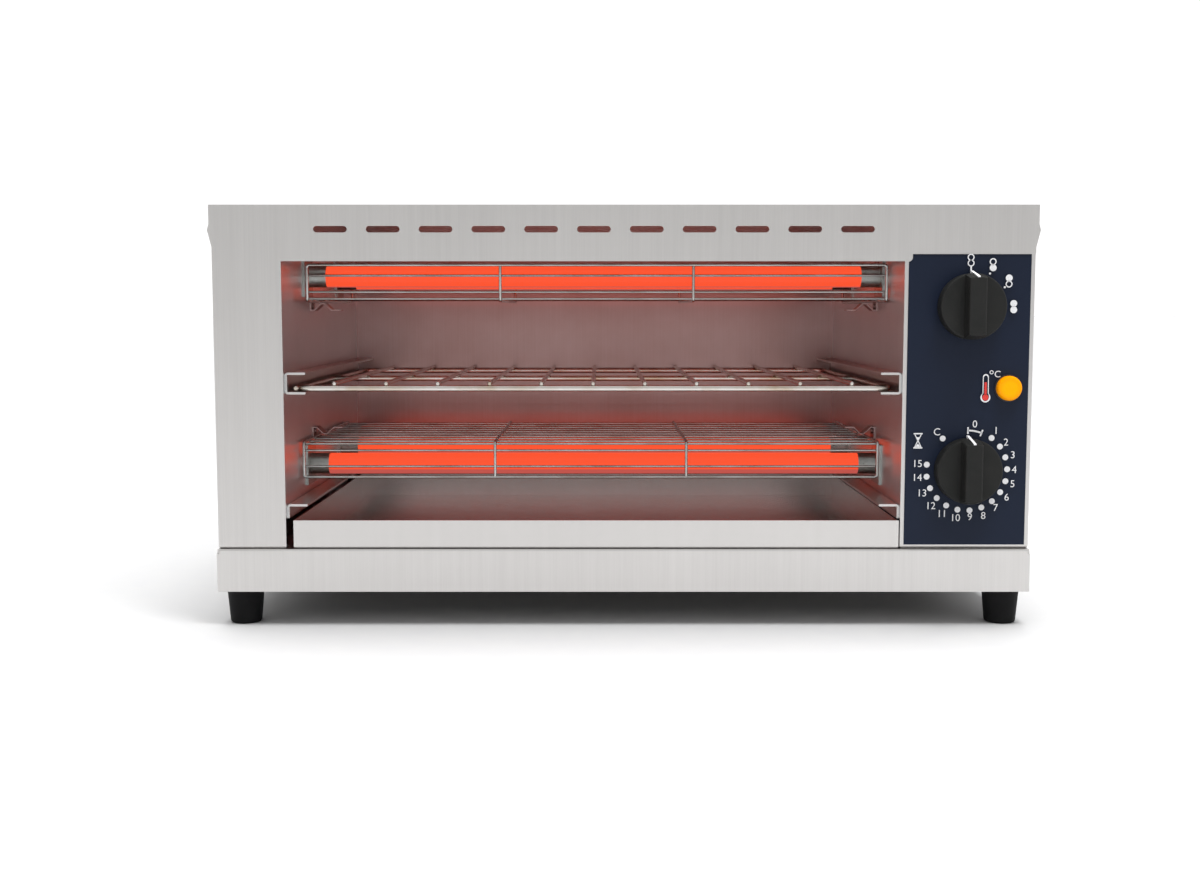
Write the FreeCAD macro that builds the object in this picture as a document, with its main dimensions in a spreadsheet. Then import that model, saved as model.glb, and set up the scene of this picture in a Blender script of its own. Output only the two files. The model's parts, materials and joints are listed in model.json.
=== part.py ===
import FreeCAD, Part
import math
import os

import Sketcher

# Countertop toaster with one toasting level, four quartz tubes and a crumb tray.
# The front faces -Y, +X is to the right as seen from the front and +Z is up.
# Every piece is drawn with Y as its depth behind the front plate, and is then set back
# so that the origin lies under the middle of the whole toaster, where its feet stand.

# Driving dimensions, in millimetres
SIZES = (
    ("body_width", 525.0, "outside of one side panel to the other"),
    ("body_depth", 305.0, "front plate to the rear lip of the cover"),
    ("cover_height", 221.0, "deck of the base to the top of the cover"),
    ("plinth_height", 28.1, "underside to the deck of the base"),
    ("foot_height", 22.5, "worktop to the underside of the base"),
    ("sheet", 1.0, "outer steel sheet"),
    ("liner", 1.0, "sheet of the toasting chamber"),
    ("bend_radius", 1.2, "outer radius of a folded edge"),
    ("fold", 12.0, "width of a folded flange"),
    ("front_fold", 6.0, "width of the side panels' front flange"),
    ("running_gap", 0.3, "gap under and round a loose piece"),
    ("cover_overhang", 1.6, "cover beyond each side panel"),
    ("cover_lip", 16.0, "height of the cover's side flanges"),
    ("rear_lip", 20.0, "height of the cover's rear flange"),
    ("lip_flare", 1.0, "flare of the side flange at its lower edge"),
    ("flare_height", 3.8, "height of that flare"),
    ("ear_taper", 10.7, "height over which the front plate narrows to the body"),
    ("stile_width", 43.9, "steel left of the opening"),
    ("column_width", 83.2, "control column right of the opening"),
    ("rail_height", 35.7, "steel above the opening"),
    ("panel_rail_height", 30.9, "steel above the control panel"),
    ("rail_step", 4.7, "deep part of the rail past the opening"),
    ("step_radius", 2.5, "rounded corner of that step"),
    ("stile_bend", 2.5, "bend at the foot of the front plate"),
    ("stile_corner", 2.0, "rounded corner at the foot of the front plate"),
    ("slot_length", 21.4, "vent slot, end to end"),
    ("slot_height", 4.1, "vent slot"),
    ("slot_margin", 31.1, "middle of the last vent slot inside the edge of the opening"),
    ("slot_drop", 15.5, "vent slots below the top"),
    ("slot_shift", 0.6, "row of slots right of the middle of the opening"),
    ("plinth_overhang", 1.3, "base beyond each side panel"),
    ("plinth_step", 0.6, "base in front of the front plate and behind the cover"),
    ("plinth_lip", 28.0, "width of the base's bottom flange"),
    ("notch", 1.6, "relief at the corners of the deck"),
    ("foot_inset", 14.8, "foot axis inside the edge of the base"),
    ("foot_top_diameter", 24.0, "foot where it meets the base"),
    ("foot_tip_diameter", 20.0, "foot on the worktop"),
    ("foot_edge_radius", 1.8, "rounded lower edge of a foot"),
    ("foot_bore", 5.5, "hole for the foot screw"),
    ("foot_recess_diameter", 11.0, "recess for the head of the foot screw"),
    ("foot_recess_depth", 10.0, "depth of that recess"),
    ("foot_screw_diameter", 5.0, "shank of the foot screw"),
    ("foot_screw_end", 2.5, "foot screw beyond its nut"),
    ("foot_nut_width", 8.0, "foot nut across flats"),
    ("foot_nut_height", 4.0, "foot nut"),
    ("screw_diameter", 4.0, "shank of the body screws"),
    ("screw_length", 8.0, "shank of the body screws"),
    ("screw_head_diameter", 8.0, "head of the body screws"),
    ("screw_head_height", 2.4, "head of the body screws"),
    ("screw_clearance", 0.15, "round the shank of a screw"),
    ("rear_space", 30.0, "back wall of the chamber to the rear of the body"),
    ("wall_drop", 19.4, "height over the deck at which the side walls step out"),
    ("wall_step", 12.0, "width of that step"),
    ("rail_sheet", 1.5, "sheet of the grid and tray rails"),
    ("rail_bend", 2.0, "outer bend of the rails"),
    ("rail_flange", 13.2, "flange of the rails"),
    ("rail_setback", 4.5, "rails behind the front plate"),
    ("grid_level", 100.0, "underside of the grid rails over the deck"),
    ("channel_height", 14.15, "outer height of the grid rails"),
    ("tray_rail_level", 28.6, "top of the tray rails over the deck"),
    ("tray_rail_web", 9.2, "height of the tray rails"),
    ("grid_wire", 4.0, "rim wire of the toasting grid"),
    ("cross_wire", 3.0, "bars of the toasting grid"),
    ("bar_margin", 25.0, "outermost bar inside the axis of the rim"),
    ("weld_bite", 0.3, "how far welded wires sink into each other"),
    ("grid_side_gap", 2.95, "grid to the web of each rail"),
    ("grid_setback", 6.0, "grid behind the front plate"),
    ("grid_rear_gap", 3.0, "grid to the back wall"),
    ("grid_corner", 10.0, "corner of the grid's rim, on its centre line"),
    ("tray_side_gap", 2.9, "crumb tray narrower than the opening, on each side"),
    ("tray_rear_gap", 17.0, "crumb tray to the back wall"),
    ("tray_height", 18.3, "crumb tray"),
    ("tray_sheet", 1.0, "crumb tray"),
    ("tray_bend", 1.6, "bend round the tray's floor"),
    ("tray_shift", 1.9, "tray right of the middle of the opening"),
    ("tube_diameter", 14.5, "quartz tube"),
    ("tube_wall", 1.2, "quartz tube"),
    ("tube_end_gap", 14.45, "glowing length of a tube to the chamber wall"),
    ("coil_diameter", 9.0, "heating coil"),
    ("coil_wire", 1.0, "heating coil"),
    ("cap_length", 20.0, "metal cap on the end of a tube"),
    ("neck_diameter", 10.0, "ceramic neck behind the cap"),
    ("neck_length", 8.0, "ceramic neck behind the cap"),
    ("stud_diameter", 4.0, "terminal stud of a tube"),
    ("stud_length", 12.0, "terminal stud of a tube"),
    ("stud_nut_width", 7.0, "terminal nut across flats"),
    ("stud_nut_height", 3.2, "terminal nut"),
    ("tube_setback", 78.5, "axis of the front tubes behind the front plate"),
    ("tube_spacing", 118.5, "front tubes to rear tubes"),
    ("upper_tube_drop", 43.9, "axis of the upper tubes below the top"),
    ("lower_tube_level", 47.3, "axis of the lower tubes over the deck"),
    ("plate_size", 27.5, "side of the square plate round a tube end"),
    ("plate_sheet", 1.6, "square plate round a tube end"),
    ("wall_bore", 20.0, "hole in the chamber wall for a tube end"),
    ("guard_wire", 2.0, "hoops and loops of the tube guards"),
    ("guard_run_wire", 1.5, "straight lengthwise wires of the tube guards"),
    ("guard_side_gap", 4.45, "axis of a guard's end wires shorter than the opening, on each side"),
    ("guard_front_gap", 31.5, "front wires before the axis of the front tubes"),
    ("guard_rear_gap", 21.0, "rear wires behind the axis of the rear tubes"),
    ("guard_height", 24.0, "guard between its food side and its outermost wire"),
    ("guard_corner", 2.0, "bends of the guard wires, on their centre line"),
    ("guard_low_wire", 6.0, "first front wire over the food side"),
    ("guard_high_wire", 16.9, "second front wire over the food side"),
    ("upper_guard_drop", 16.7, "food side of the upper guard below its tubes"),
    ("lower_guard_rise", 18.0, "food side of the lower guard above its tubes"),
    ("upper_guard_shift", 2.35, "upper guard right of the middle of the opening"),
    ("lower_guard_shift", -1.85, "lower guard right of the middle of the opening"),
    ("clip_sheet", 0.8, "spring strip that holds a guard"),
    ("clip_width", 12.0, "spring strip"),
    ("clip_reach", 21.0, "spring strip from the wall inwards"),
    ("clip_arch", 4.6, "height of the arch in the strip"),
    ("clip_arch_start", 3.0, "foot of the arch, from the wall"),
    ("clip_arch_peak", 9.0, "middle of the arch, from the wall"),
    ("clip_arch_flat", 2.0, "flat top of the arch"),
    ("clip_back_reach", 12.0, "returned leaf behind the guard wire"),
    ("rivet_diameter", 3.0, "shank of a clip rivet"),
    ("rivet_head", 4.2, "head of a clip rivet"),
    ("rivet_head_height", 1.0, "head of a clip rivet"),
    ("overlay_margin", 2.5, "steel seen each side of the overlay"),
    ("overlay_foot", 2.7, "steel seen below the overlay"),
    ("overlay_sheet", 0.3, "printed overlay"),
    ("panel_top_drop", 8.0, "hidden top of the control panel below the cover's top"),
    ("knob_inset", 41.2, "knob axes inside the right side of the body"),
    ("selector_drop", 64.4, "selector axis below the top"),
    ("timer_level", 51.3, "timer axis over the deck"),
    ("knob_diameter", 42.0, "knob"),
    ("knob_disc", 10.0, "disc of the knob"),
    ("knob_length", 20.0, "knob from its back to the front of its grip"),
    ("grip_width", 12.0, "grip bar of the knob"),
    ("grip_draft", 0.6, "how far each side of the grip leans in"),
    ("grip_slope", 2.5, "how far each end of the grip leans in"),
    ("knob_edge", 1.2, "rounded edges of the knob"),
    ("knob_hollow", 7.0, "depth of the hollow behind the knob"),
    ("knob_wall", 2.5, "rim and hub wall of the knob"),
    ("shaft_diameter", 6.0, "timer and selector shafts"),
    ("shaft_flat", 2.0, "flat of a shaft, from its axis"),
    ("shaft_gap", 0.05, "round a shaft in its bore"),
    ("shaft_in_knob", 14.0, "shaft inside the knob"),
    ("shaft_in_body", 12.0, "shaft inside the timer or switch"),
    ("bush_diameter", 9.0, "bush of the timer and the switch through the panel"),
    ("bush_gap", 0.3, "round that bush"),
    ("timer_diameter", 44.0, "drum of the timer"),
    ("timer_length", 26.0, "drum of the timer"),
    ("switch_width", 34.0, "body of the selector switch"),
    ("switch_length", 32.0, "body of the selector switch"),
    ("device_plate", 1.2, "mounting plate of the timer and the switch"),
    ("device_plate_width", 40.0, "mounting plate of the timer and the switch"),
    ("device_plate_height", 20.0, "mounting plate of the timer and the switch"),
    ("device_screw_spacing", 28.0, "screws either side of a shaft"),
    ("device_screw_diameter", 3.0, "shank of a device screw"),
    ("device_screw_length", 5.0, "shank of a device screw"),
    ("device_screw_head", 5.6, "head of a device screw"),
    ("device_head_height", 0.6, "head of a device screw"),
    ("terminal_width", 6.3, "spade terminal"),
    ("terminal_sheet", 0.8, "spade terminal"),
    ("terminal_length", 8.0, "spade terminal"),
    ("pilot_inset", 15.5, "pilot lamp inside the right side of the body"),
    ("pilot_level", 104.4, "pilot lamp over the deck"),
    ("lens_diameter", 15.9, "amber lens"),
    ("lens_height", 4.3, "amber lens in front of its ring"),
    ("lens_edge", 1.8, "rounded front of the lens"),
    ("lens_stem", 11.0, "stem of the lens through the panel"),
    ("bezel_diameter", 17.6, "ring behind the lens"),
    ("bezel_height", 0.9, "ring behind the lens"),
    ("pilot_diameter", 12.0, "body of the pilot lamp"),
    ("pilot_length", 26.0, "body of the pilot lamp"),
    ("pilot_nut_width", 14.0, "nut of the pilot lamp across flats"),
    ("pilot_nut_height", 2.5, "nut of the pilot lamp"),
    ("gland_level", 30.0, "cable gland over the deck"),
    ("gland_inset", 36.5, "cable gland inside the right side of the body"),
    ("gland_bore", 10.0, "hole for the cable"),
    ("gland_thread", 20.0, "threaded part of the gland"),
    ("gland_thread_length", 12.0, "thread behind the flange"),
    ("gland_flats", 24.0, "gland and its nut across flats"),
    ("gland_flange", 5.0, "flange of the gland"),
    ("gland_nut_height", 4.5, "lock nut of the gland"),
    ("gland_cap_diameter", 23.0, "dome nut of the gland"),
    ("gland_stand_out", 21.0, "gland behind the back panel"),
    ("gland_dome", 5.0, "rounded end of the dome nut"),
    ("block_width", 52.0, "terminal block, front to back"),
    ("block_depth", 18.0, "terminal block, side to side"),
    ("block_height", 16.0, "terminal block"),
    ("block_setback", 246.0, "middle of the terminal block behind the front plate"),
    ("block_pitch", 10.0, "one terminal to the next"),
    ("block_port", 5.0, "screw well of the terminal block"),
    ("earth_setback", 200.0, "earth stud behind the front plate"),
    ("earth_gap", 7.2, "earth nut beside the foot of the chamber wall"),
    ("earth_stud_length", 18.0, "earth stud over the deck"),
    ("earth_stud_diameter", 5.0, "earth stud"),
    ("earth_nut_width", 8.0, "earth nut across flats"),
    ("earth_nut_height", 4.0, "earth nut"),
    ("deck_vent_length", 30.0, "vent slot in the deck"),
    ("deck_vent_pitch", 12.0, "one deck vent to the next"),
    ("deck_vent_setback", 102.0, "first deck vent behind the front plate"),
)

# Counts
SLOT_COUNT = 11
GRID_BAR_COUNT = 11
GUARD_BAR_COUNT = 10
GUARD_HOOP_COUNT = 4
BLOCK_PORT_COUNT = 5
DECK_VENT_COUNT = 5
REAR_VENT_COUNT = 4

# Places that follow from the driving dimensions
PLACES = (
    ("half_body", "Size.body_width / 2"),
    ("deck", "Size.foot_height + Size.plinth_height"),
    ("top", "At.deck + Size.cover_height"),
    ("under_top", "At.top - Size.sheet"),
    ("back_face", "Size.body_depth - Size.sheet"),
    ("front_plate", "(Size.knob_length - At.back_face - Size.gland_stand_out) / 2"),
    ("panel_front", "Size.sheet"),
    ("panel_back", "2 * Size.sheet"),
    ("cover_half", "At.half_body + Size.cover_overhang"),
    ("lip_foot", "At.top - Size.cover_lip"),
    ("flare_top", "At.lip_foot + Size.flare_height"),
    ("ear_foot", "At.lip_foot - Size.ear_taper"),
    ("opening_width", "Size.body_width - Size.stile_width - Size.column_width"),
    ("opening_left", "Size.stile_width - At.half_body"),
    ("opening_right", "At.half_body - Size.column_width"),
    ("opening_middle", "(At.opening_left + At.opening_right) / 2"),
    ("earth", "At.opening_right + Size.wall_step + Size.fold + Size.earth_gap + Size.earth_nut_width / 2"),
    ("opening_top", "At.top - Size.rail_height"),
    ("rail_foot", "At.top - Size.panel_rail_height"),
    ("rail_end", "At.opening_right + Size.rail_step"),
    ("slot_level", "At.top - Size.slot_drop"),
    ("slot_pitch", "(At.opening_width - 2 * Size.slot_margin) / %d" % (SLOT_COUNT - 1)),
    ("chamber_back", "Size.body_depth - Size.rear_space"),
    ("base_half", "At.half_body + Size.plinth_overhang"),
    ("base_back", "Size.body_depth + Size.plinth_step"),
    ("foot_x", "At.base_half - Size.foot_inset"),
    ("foot_front", "Size.foot_inset - Size.plinth_step"),
    ("foot_rear", "At.base_back - Size.foot_inset"),
    ("foot_grip", "Size.foot_height - Size.foot_recess_depth + Size.sheet + Size.foot_nut_height"
     " + Size.foot_screw_end"),
    ("panel_rear", "At.back_face - Size.sheet"),
    ("wall_foot", "At.deck + Size.wall_drop"),
    ("grid_rail_foot", "At.deck + Size.grid_level"),
    ("grid_axis", "At.grid_rail_foot + Size.rail_sheet + Size.running_gap + Size.grid_wire / 2"),
    ("bar_axis", "At.grid_axis + (Size.grid_wire + Size.cross_wire) / 2 - Size.weld_bite"),
    ("grid_half", "At.opening_width / 2 - Size.rail_sheet - Size.grid_side_gap - Size.grid_wire / 2"),
    ("bar_pitch", "2 * (At.grid_half - Size.bar_margin) / %d" % (GRID_BAR_COUNT - 1)),
    ("grid_front", "Size.grid_setback + Size.grid_wire / 2"),
    ("grid_rear", "At.chamber_back - Size.grid_rear_gap - Size.grid_wire / 2"),
    ("tray_rail_top", "At.deck + Size.tray_rail_level"),
    ("tray_foot", "At.deck + Size.running_gap"),
    ("tray_width", "At.opening_width - 2 * Size.tray_side_gap"),
    ("tray_depth", "At.chamber_back - Size.tray_rear_gap"),
    ("tube_length", "At.opening_width - 2 * Size.tube_end_gap"),
    ("upper_tube", "At.top - Size.upper_tube_drop"),
    ("lower_tube", "At.deck + Size.lower_tube_level"),
    ("rear_tube", "Size.tube_setback + Size.tube_spacing"),
    ("upper_guard", "At.upper_tube - Size.upper_guard_drop"),
    ("lower_guard", "At.lower_tube + Size.lower_guard_rise"),
    ("weld_offset", "(Size.guard_wire + Size.guard_run_wire) / 2 - Size.weld_bite"),
    ("guard_front", "Size.tube_setback - Size.guard_front_gap"),
    ("guard_depth", "Size.tube_spacing + Size.guard_front_gap + Size.guard_rear_gap"),
    ("guard_length", "At.opening_width - 2 * Size.guard_side_gap"),
    ("guard_bar_pitch", "(At.guard_depth - 2 * At.weld_offset) / %d" % (GUARD_BAR_COUNT - 1)),
    ("clip_middle", "At.guard_front + At.weld_offset + 2.5 * At.guard_bar_pitch"),
    ("clip_gap", "Size.guard_wire / 2 + Size.running_gap"),
    ("clip_flat", "At.clip_gap + Size.clip_arch"),
    ("rivet_offset", "(At.clip_gap + At.clip_flat) / 2"),
    ("overlay_left", "At.opening_right + Size.overlay_margin"),
    ("overlay_right", "At.half_body - Size.overlay_margin"),
    ("overlay_foot", "At.deck + Size.overlay_foot"),
    ("overlay_front", "At.panel_front - Size.overlay_sheet"),
    ("knob_x", "At.half_body - Size.knob_inset"),
    ("selector", "At.top - Size.selector_drop"),
    ("timer", "At.deck + Size.timer_level"),
    ("pilot_x", "At.half_body - Size.pilot_inset"),
    ("pilot", "At.deck + Size.pilot_level"),
    ("gland_x", "At.half_body - Size.gland_inset"),
    ("gland", "At.deck + Size.gland_level"),
    ("screw_bore", "Size.screw_diameter / 2 + Size.screw_clearance"),
    ("flange_middle", "At.half_body - Size.fold / 2"),
)

doc = FreeCAD.newDocument("Toaster")
V = FreeCAD.Vector
TOUCH = 1e-4
PIECES = []


def fill_sheet(name, rows):
    """Spreadsheet with one named cell a row."""
    sheet = doc.addObject("Spreadsheet::Sheet", name)
    for row, (alias, content, note) in enumerate(rows, start=1):
        sheet.set("A%d" % row, alias)
        sheet.set("B%d" % row, str(content))
        sheet.set("C%d" % row, note)
        sheet.setAlias("B%d" % row, alias)
    return sheet


Size = fill_sheet("Size", SIZES)
At = fill_sheet("At", [(alias, "=" + rule, "") for alias, rule in PLACES])
doc.recompute()


def value(rule):
    """Number that a rule on the sheets gives now."""
    return float(At.evalExpression(rule))


# Sketch helpers


def new_body(label, x="0", y="0", z="0"):
    """Body set back with the whole toaster, at x, depth y and height z."""
    body = doc.addObject("PartDesign::Body", label)
    body.Label = label
    body.setExpression("Placement.Base.x", x)
    body.setExpression("Placement.Base.y", "At.front_plate + " + y)
    body.setExpression("Placement.Base.z", z)
    PIECES.append(body)
    return body


def origin_feature(body, role):
    return next(item for item in body.Origin.OriginFeatures if item.Role == role)


def new_sketch(body, plane, level="0"):
    """Sketch on an origin plane, moved along that plane's axis to a level."""
    sketch = body.newObject("Sketcher::SketchObject", body.Name + "_sketch")
    sketch.AttachmentSupport = [(origin_feature(body, plane + "_Plane"), "")]
    sketch.MapMode = "FlatFace"
    side = "-" if plane == "XZ" else ""
    sketch.setExpression("AttachmentOffset.Base.z", "%s(%s)" % (side, level))
    return sketch


def tie(sketch, rules):
    """Add constraints, each bound to its rule where it has one."""
    first = sketch.ConstraintCount
    sketch.addConstraint([constraint for constraint, rule in rules])
    for index, (constraint, rule) in enumerate(rules, start=first):
        if rule is not None:
            sketch.setExpression("Constraints[%d]" % index, rule)


def point_rules(geometry, end, x, y):
    """Tie one point of a sketch to the origin."""
    across = Sketcher.Constraint("DistanceX", -1, 1, geometry, end, value(x))
    along = Sketcher.Constraint("DistanceY", -1, 1, geometry, end, value(y))
    return [(across, x), (along, y)]


def draw_stops(sketch, stops, closed=True):
    """Lines and arcs from stop to stop.

    A stop is a pair of rules. Where an arc leads to it, a point on that arc and the rule of
    its radius follow; for half a circle the rule is the one of its centre, marked so.
    """
    first = sketch.GeometryCount
    spots = [V(value(stop[0]), value(stop[1]), 0) for stop in stops]
    runs = len(stops) if closed else len(stops) - 1
    geometry, ends, rules = [], [], []
    for i in range(runs):
        start, end = spots[i], spots[(i + 1) % len(stops)]
        following = stops[(i + 1) % len(stops)]
        if len(following) == 2:
            geometry.append(Part.LineSegment(start, end))
            ends.append((1, 2))
            continue
        through, rule = following[2:4]
        geometry.append(Part.Arc(start, through, end))
        ends.append((1, 2) if (through - start).cross(end - through).z > 0 else (2, 1))
        if following[4:] == ("centre",):
            hold = Sketcher.Constraint("DistanceX", -1, 1, first + i, 3, value(rule))
        else:
            hold = Sketcher.Constraint("Radius", first + i, value(rule))
        rules.append((hold, rule))
    sketch.addGeometry(geometry, False)
    for i in range(runs if closed else runs - 1):
        following = (i + 1) % runs
        joint = Sketcher.Constraint("Coincident", first + i, ends[i][1], first + following, ends[following][0])
        rules.append((joint, None))
    for i in range(runs):
        rules += point_rules(first + i, ends[i][0], *stops[i][:2])
    if not closed:
        rules += point_rules(first + runs - 1, ends[-1][1], *stops[-1][:2])
    tie(sketch, rules)


def moved(rule, step, distance):
    """Rule moved by a distance the way that step points, or left where step is nothing."""
    if abs(step) < TOUCH:
        return rule
    return "%s %s (%s)" % (rule, "+" if step > 0 else "-", distance)


def draw_outline(sketch, corners, closed=True):
    """Outline through corners given as rules for x and y, and a radius where one is rounded."""
    points = [V(value(corner[0]), value(corner[1]), 0) for corner in corners]
    stops = []
    for i, (x, y, *radius) in enumerate(corners):
        if not radius:
            stops.append((x, y))
            continue
        bend = value(radius[0])
        before = (points[i - 1] - points[i]).normalize() * bend
        after = (points[(i + 1) % len(points)] - points[i]).normalize() * bend
        through = points[i] + (before + after) * (1 - math.sqrt(0.5))
        stops.append((moved(x, before.x, radius[0]), moved(y, before.y, radius[0])))
        stops.append((moved(x, after.x, radius[0]), moved(y, after.y, radius[0]), through, radius[0]))
    draw_stops(sketch, stops, closed)


def draw_rectangle(sketch, left, low, right, high):
    draw_outline(sketch, [(left, low), (right, low), (right, high), (left, high)])


def draw_circle(sketch, x, y, diameter):
    index = sketch.GeometryCount
    centre = V(value(x), value(y), 0)
    sketch.addGeometry(Part.Circle(centre, V(0, 0, 1), value(diameter) / 2), False)
    rules = point_rules(index, 3, x, y)
    rules.append((Sketcher.Constraint("Diameter", index, value(diameter)), diameter))
    tie(sketch, rules)


def draw_hexagon(sketch, x, y, across_flats):
    corners = []
    for step in range(6):
        turn = math.radians(30 + 60 * step)
        across = "%s + (%s) * %.9f" % (x, across_flats, math.cos(turn) / math.sqrt(3))
        along = "%s + (%s) * %.9f" % (y, across_flats, math.sin(turn) / math.sqrt(3))
        corners.append((across, along))
    draw_outline(sketch, corners)


def draw_slot(sketch, x, y, length, height):
    """Slot with full-radius ends, lying along the sketch's first axis."""
    reach, radius = "((%s) - (%s)) / 2" % (length, height), "(%s) / 2" % height
    left, right = "%s - %s" % (x, reach), "%s + %s" % (x, reach)
    low, high = "%s - %s" % (y, radius), "%s + %s" % (y, radius)
    left_end = V(value("%s - %s" % (left, radius)), value(y), 0)
    right_end = V(value("%s + %s" % (right, radius)), value(y), 0)
    draw_stops(sketch, [(left, low, left_end, left, "centre"), (right, low),
                        (right, high, right_end, right, "centre"), (left, high)])


# Feature helpers


def raise_sketch(body, sketch, length, forward=True):
    """Pad a sketch; forward is +X, +Y or +Z, whichever the sketch faces."""
    pad = body.newObject("PartDesign::Pad", body.Name + "_pad")
    pad.Profile = sketch
    pad.setExpression("Length", length)
    away = sketch.AttachmentSupport[0][0].Role == "XZ_Plane"
    pad.Reversed = forward == away
    doc.recompute()
    return pad


def cut_sketch(body, sketch, length, forward=True):
    """Pocket a sketch, and make sure that it took something away."""
    before = body.Tip.Shape.Volume
    pocket = body.newObject("PartDesign::Pocket", body.Name + "_cut")
    pocket.Profile = sketch
    pocket.setExpression("Length", length)
    away = sketch.AttachmentSupport[0][0].Role == "XZ_Plane"
    pocket.Reversed = forward != away
    doc.recompute()
    if pocket.Shape.Volume > before - TOUCH:
        raise RuntimeError(body.Label + ": a cut took nothing away")
    return pocket


def repeat(body, feature, axis, pitch, count):
    """Row of copies of one feature along an origin axis."""
    row = body.newObject("PartDesign::LinearPattern", body.Name + "_row")
    row.Originals = [feature]
    row.Direction = (origin_feature(body, axis + "_Axis"), [""])
    row.Mode = "Spacing"
    row.setExpression("Offset", pitch)
    row.Occurrences = count
    body.Tip = row
    doc.recompute()
    return row


def mirror(body, feature, plane):
    """Mirror image of a feature in an origin plane of its body."""
    image = body.newObject("PartDesign::Mirrored", body.Name + "_mirror")
    image.Originals = [feature]
    image.MirrorPlane = (origin_feature(body, plane + "_Plane"), [""])
    body.Tip = image
    doc.recompute()
    return image


def edges_at(body, **place):
    """Names of the edges of which every end lies at the given coordinates."""
    names = []
    targets = {axis: value(rule) for axis, rule in place.items()}
    for index, edge in enumerate(body.Tip.Shape.Edges, start=1):
        ends = [vertex.Point for vertex in edge.Vertexes]
        if all(abs(getattr(end, axis) - target) < TOUCH for end in ends for axis, target in targets.items()):
            names.append("Edge%d" % index)
    return names


def round_edges(body, names, radius):
    if not names:
        raise RuntimeError(body.Label + ": no edge to round")
    fillet = body.newObject("PartDesign::Fillet", body.Name + "_round")
    fillet.Base = (body.Tip if body.Tip != fillet else fillet.BaseFeature, names)
    fillet.setExpression("Radius", radius)
    doc.recompute()
    return fillet


def sweep(body, profile, path):
    """Round wire along a path."""
    pipe = body.newObject("PartDesign::AdditivePipe", body.Name + "_wire")
    pipe.Profile = profile
    pipe.Spine = (path, ["Edge%d" % (i + 1) for i in range(path.GeometryCount)])
    pipe.Transition = "Transformed"
    doc.recompute()
    return pipe


def slab(body, plane, level, thickness, box):
    """Flat rectangle of sheet; box is left, low, right, high on its plane."""
    sketch = new_sketch(body, plane, level)
    draw_rectangle(sketch, *box)
    return raise_sketch(body, sketch, thickness)


def bore(body, plane, level, depth, places, diameter):
    """Round holes through a sheet, forward from a level."""
    sketch = new_sketch(body, plane, level)
    for x, y in places:
        draw_circle(sketch, x, y, diameter)
    return cut_sketch(body, sketch, depth)


def discs(body, plane, level, length, places, diameter):
    """Round pieces side by side, each a solid of its own."""
    sketch = new_sketch(body, plane, level)
    for x, y in places:
        draw_circle(sketch, x, y, diameter)
    return raise_sketch(body, sketch, length)


# Where the fasteners sit

SIDES = ("-", "")
FOOT_PLACES = [(side + "At.foot_x", depth) for side in SIDES for depth in ("At.foot_front", "At.foot_rear")]
BASE_SCREW_DEPTHS = ("Size.body_depth / 6", "Size.body_depth / 2", "Size.body_depth * 5 / 6")
BASE_SCREW_PLACES = [(side + "At.flange_middle", depth) for side in SIDES for depth in BASE_SCREW_DEPTHS]
BACK_SCREW_LEVELS = ("At.deck + Size.cover_height / 8", "At.deck + Size.cover_height / 2",
                     "At.top - Size.cover_height / 8 - Size.rear_lip / 2")
BACK_SCREW_PLACES = [(side + "At.flange_middle", level) for side in SIDES for level in BACK_SCREW_LEVELS]
COVER_SCREW_LEVEL = "At.top - Size.rear_lip * 0.6"
COVER_SCREW_PLACES = [(side + "Size.body_width * " + share, COVER_SCREW_LEVEL)
                      for side in SIDES for share in ("0.42", "0.14")]
TUBE_PLACES = [(depth, level) for depth in ("Size.tube_setback", "At.rear_tube")
               for level in ("At.lower_tube", "At.upper_tube")]
RIVET_PLACES = [("At.clip_middle", "At.upper_guard - At.rivet_offset"),
                ("At.clip_middle", "At.lower_guard + At.rivet_offset")]
DEVICE_SCREW_OFFSETS = ("-Size.device_screw_spacing / 2", "Size.device_screw_spacing / 2")


# Outer shell


def fold_foot(body, left, right, front):
    """Bend at the foot of a front plate, its flange on the deck, and two rounded corners."""
    sketch = new_sketch(body, "YZ", left)
    back = front + " + Size.sheet"
    draw_outline(sketch, [
        (front, "At.deck + Size.fold"),
        (front, "At.deck", "Size.stile_bend"),
        (front + " + Size.fold", "At.deck"),
        (front + " + Size.fold", "At.deck + Size.sheet"),
        (back, "At.deck + Size.sheet", "(Size.stile_bend - Size.sheet)"),
        (back, "At.deck + Size.fold"),
    ])
    raise_sketch(body, sketch, "%s - (%s)" % (right, left))
    sketch = new_sketch(body, "XZ", front)
    corner = "Size.stile_corner"
    for side, step in ((left, "+"), (right, "-")):
        inner = "%s %s %s" % (side, step, corner)
        high = "At.deck + " + corner
        inset = value(corner) * (1 - math.sqrt(0.5))
        through = V(value(side) + inset * (1 if step == "+" else -1), value("At.deck") + inset, 0)
        draw_stops(sketch, [(side, "At.deck"), (inner, "At.deck"), (side, high, through, corner)])
    cut_sketch(body, sketch, "Size.fold")
    sketch = new_sketch(body, "XY", "At.deck")
    room = "(Size.sheet + Size.running_gap)"
    draw_rectangle(sketch, left, back, "%s + %s" % (left, room), front + " + Size.fold")
    draw_rectangle(sketch, "%s - %s" % (right, room), back, right, front + " + Size.fold")
    cut_sketch(body, sketch, "Size.stile_bend")


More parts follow.
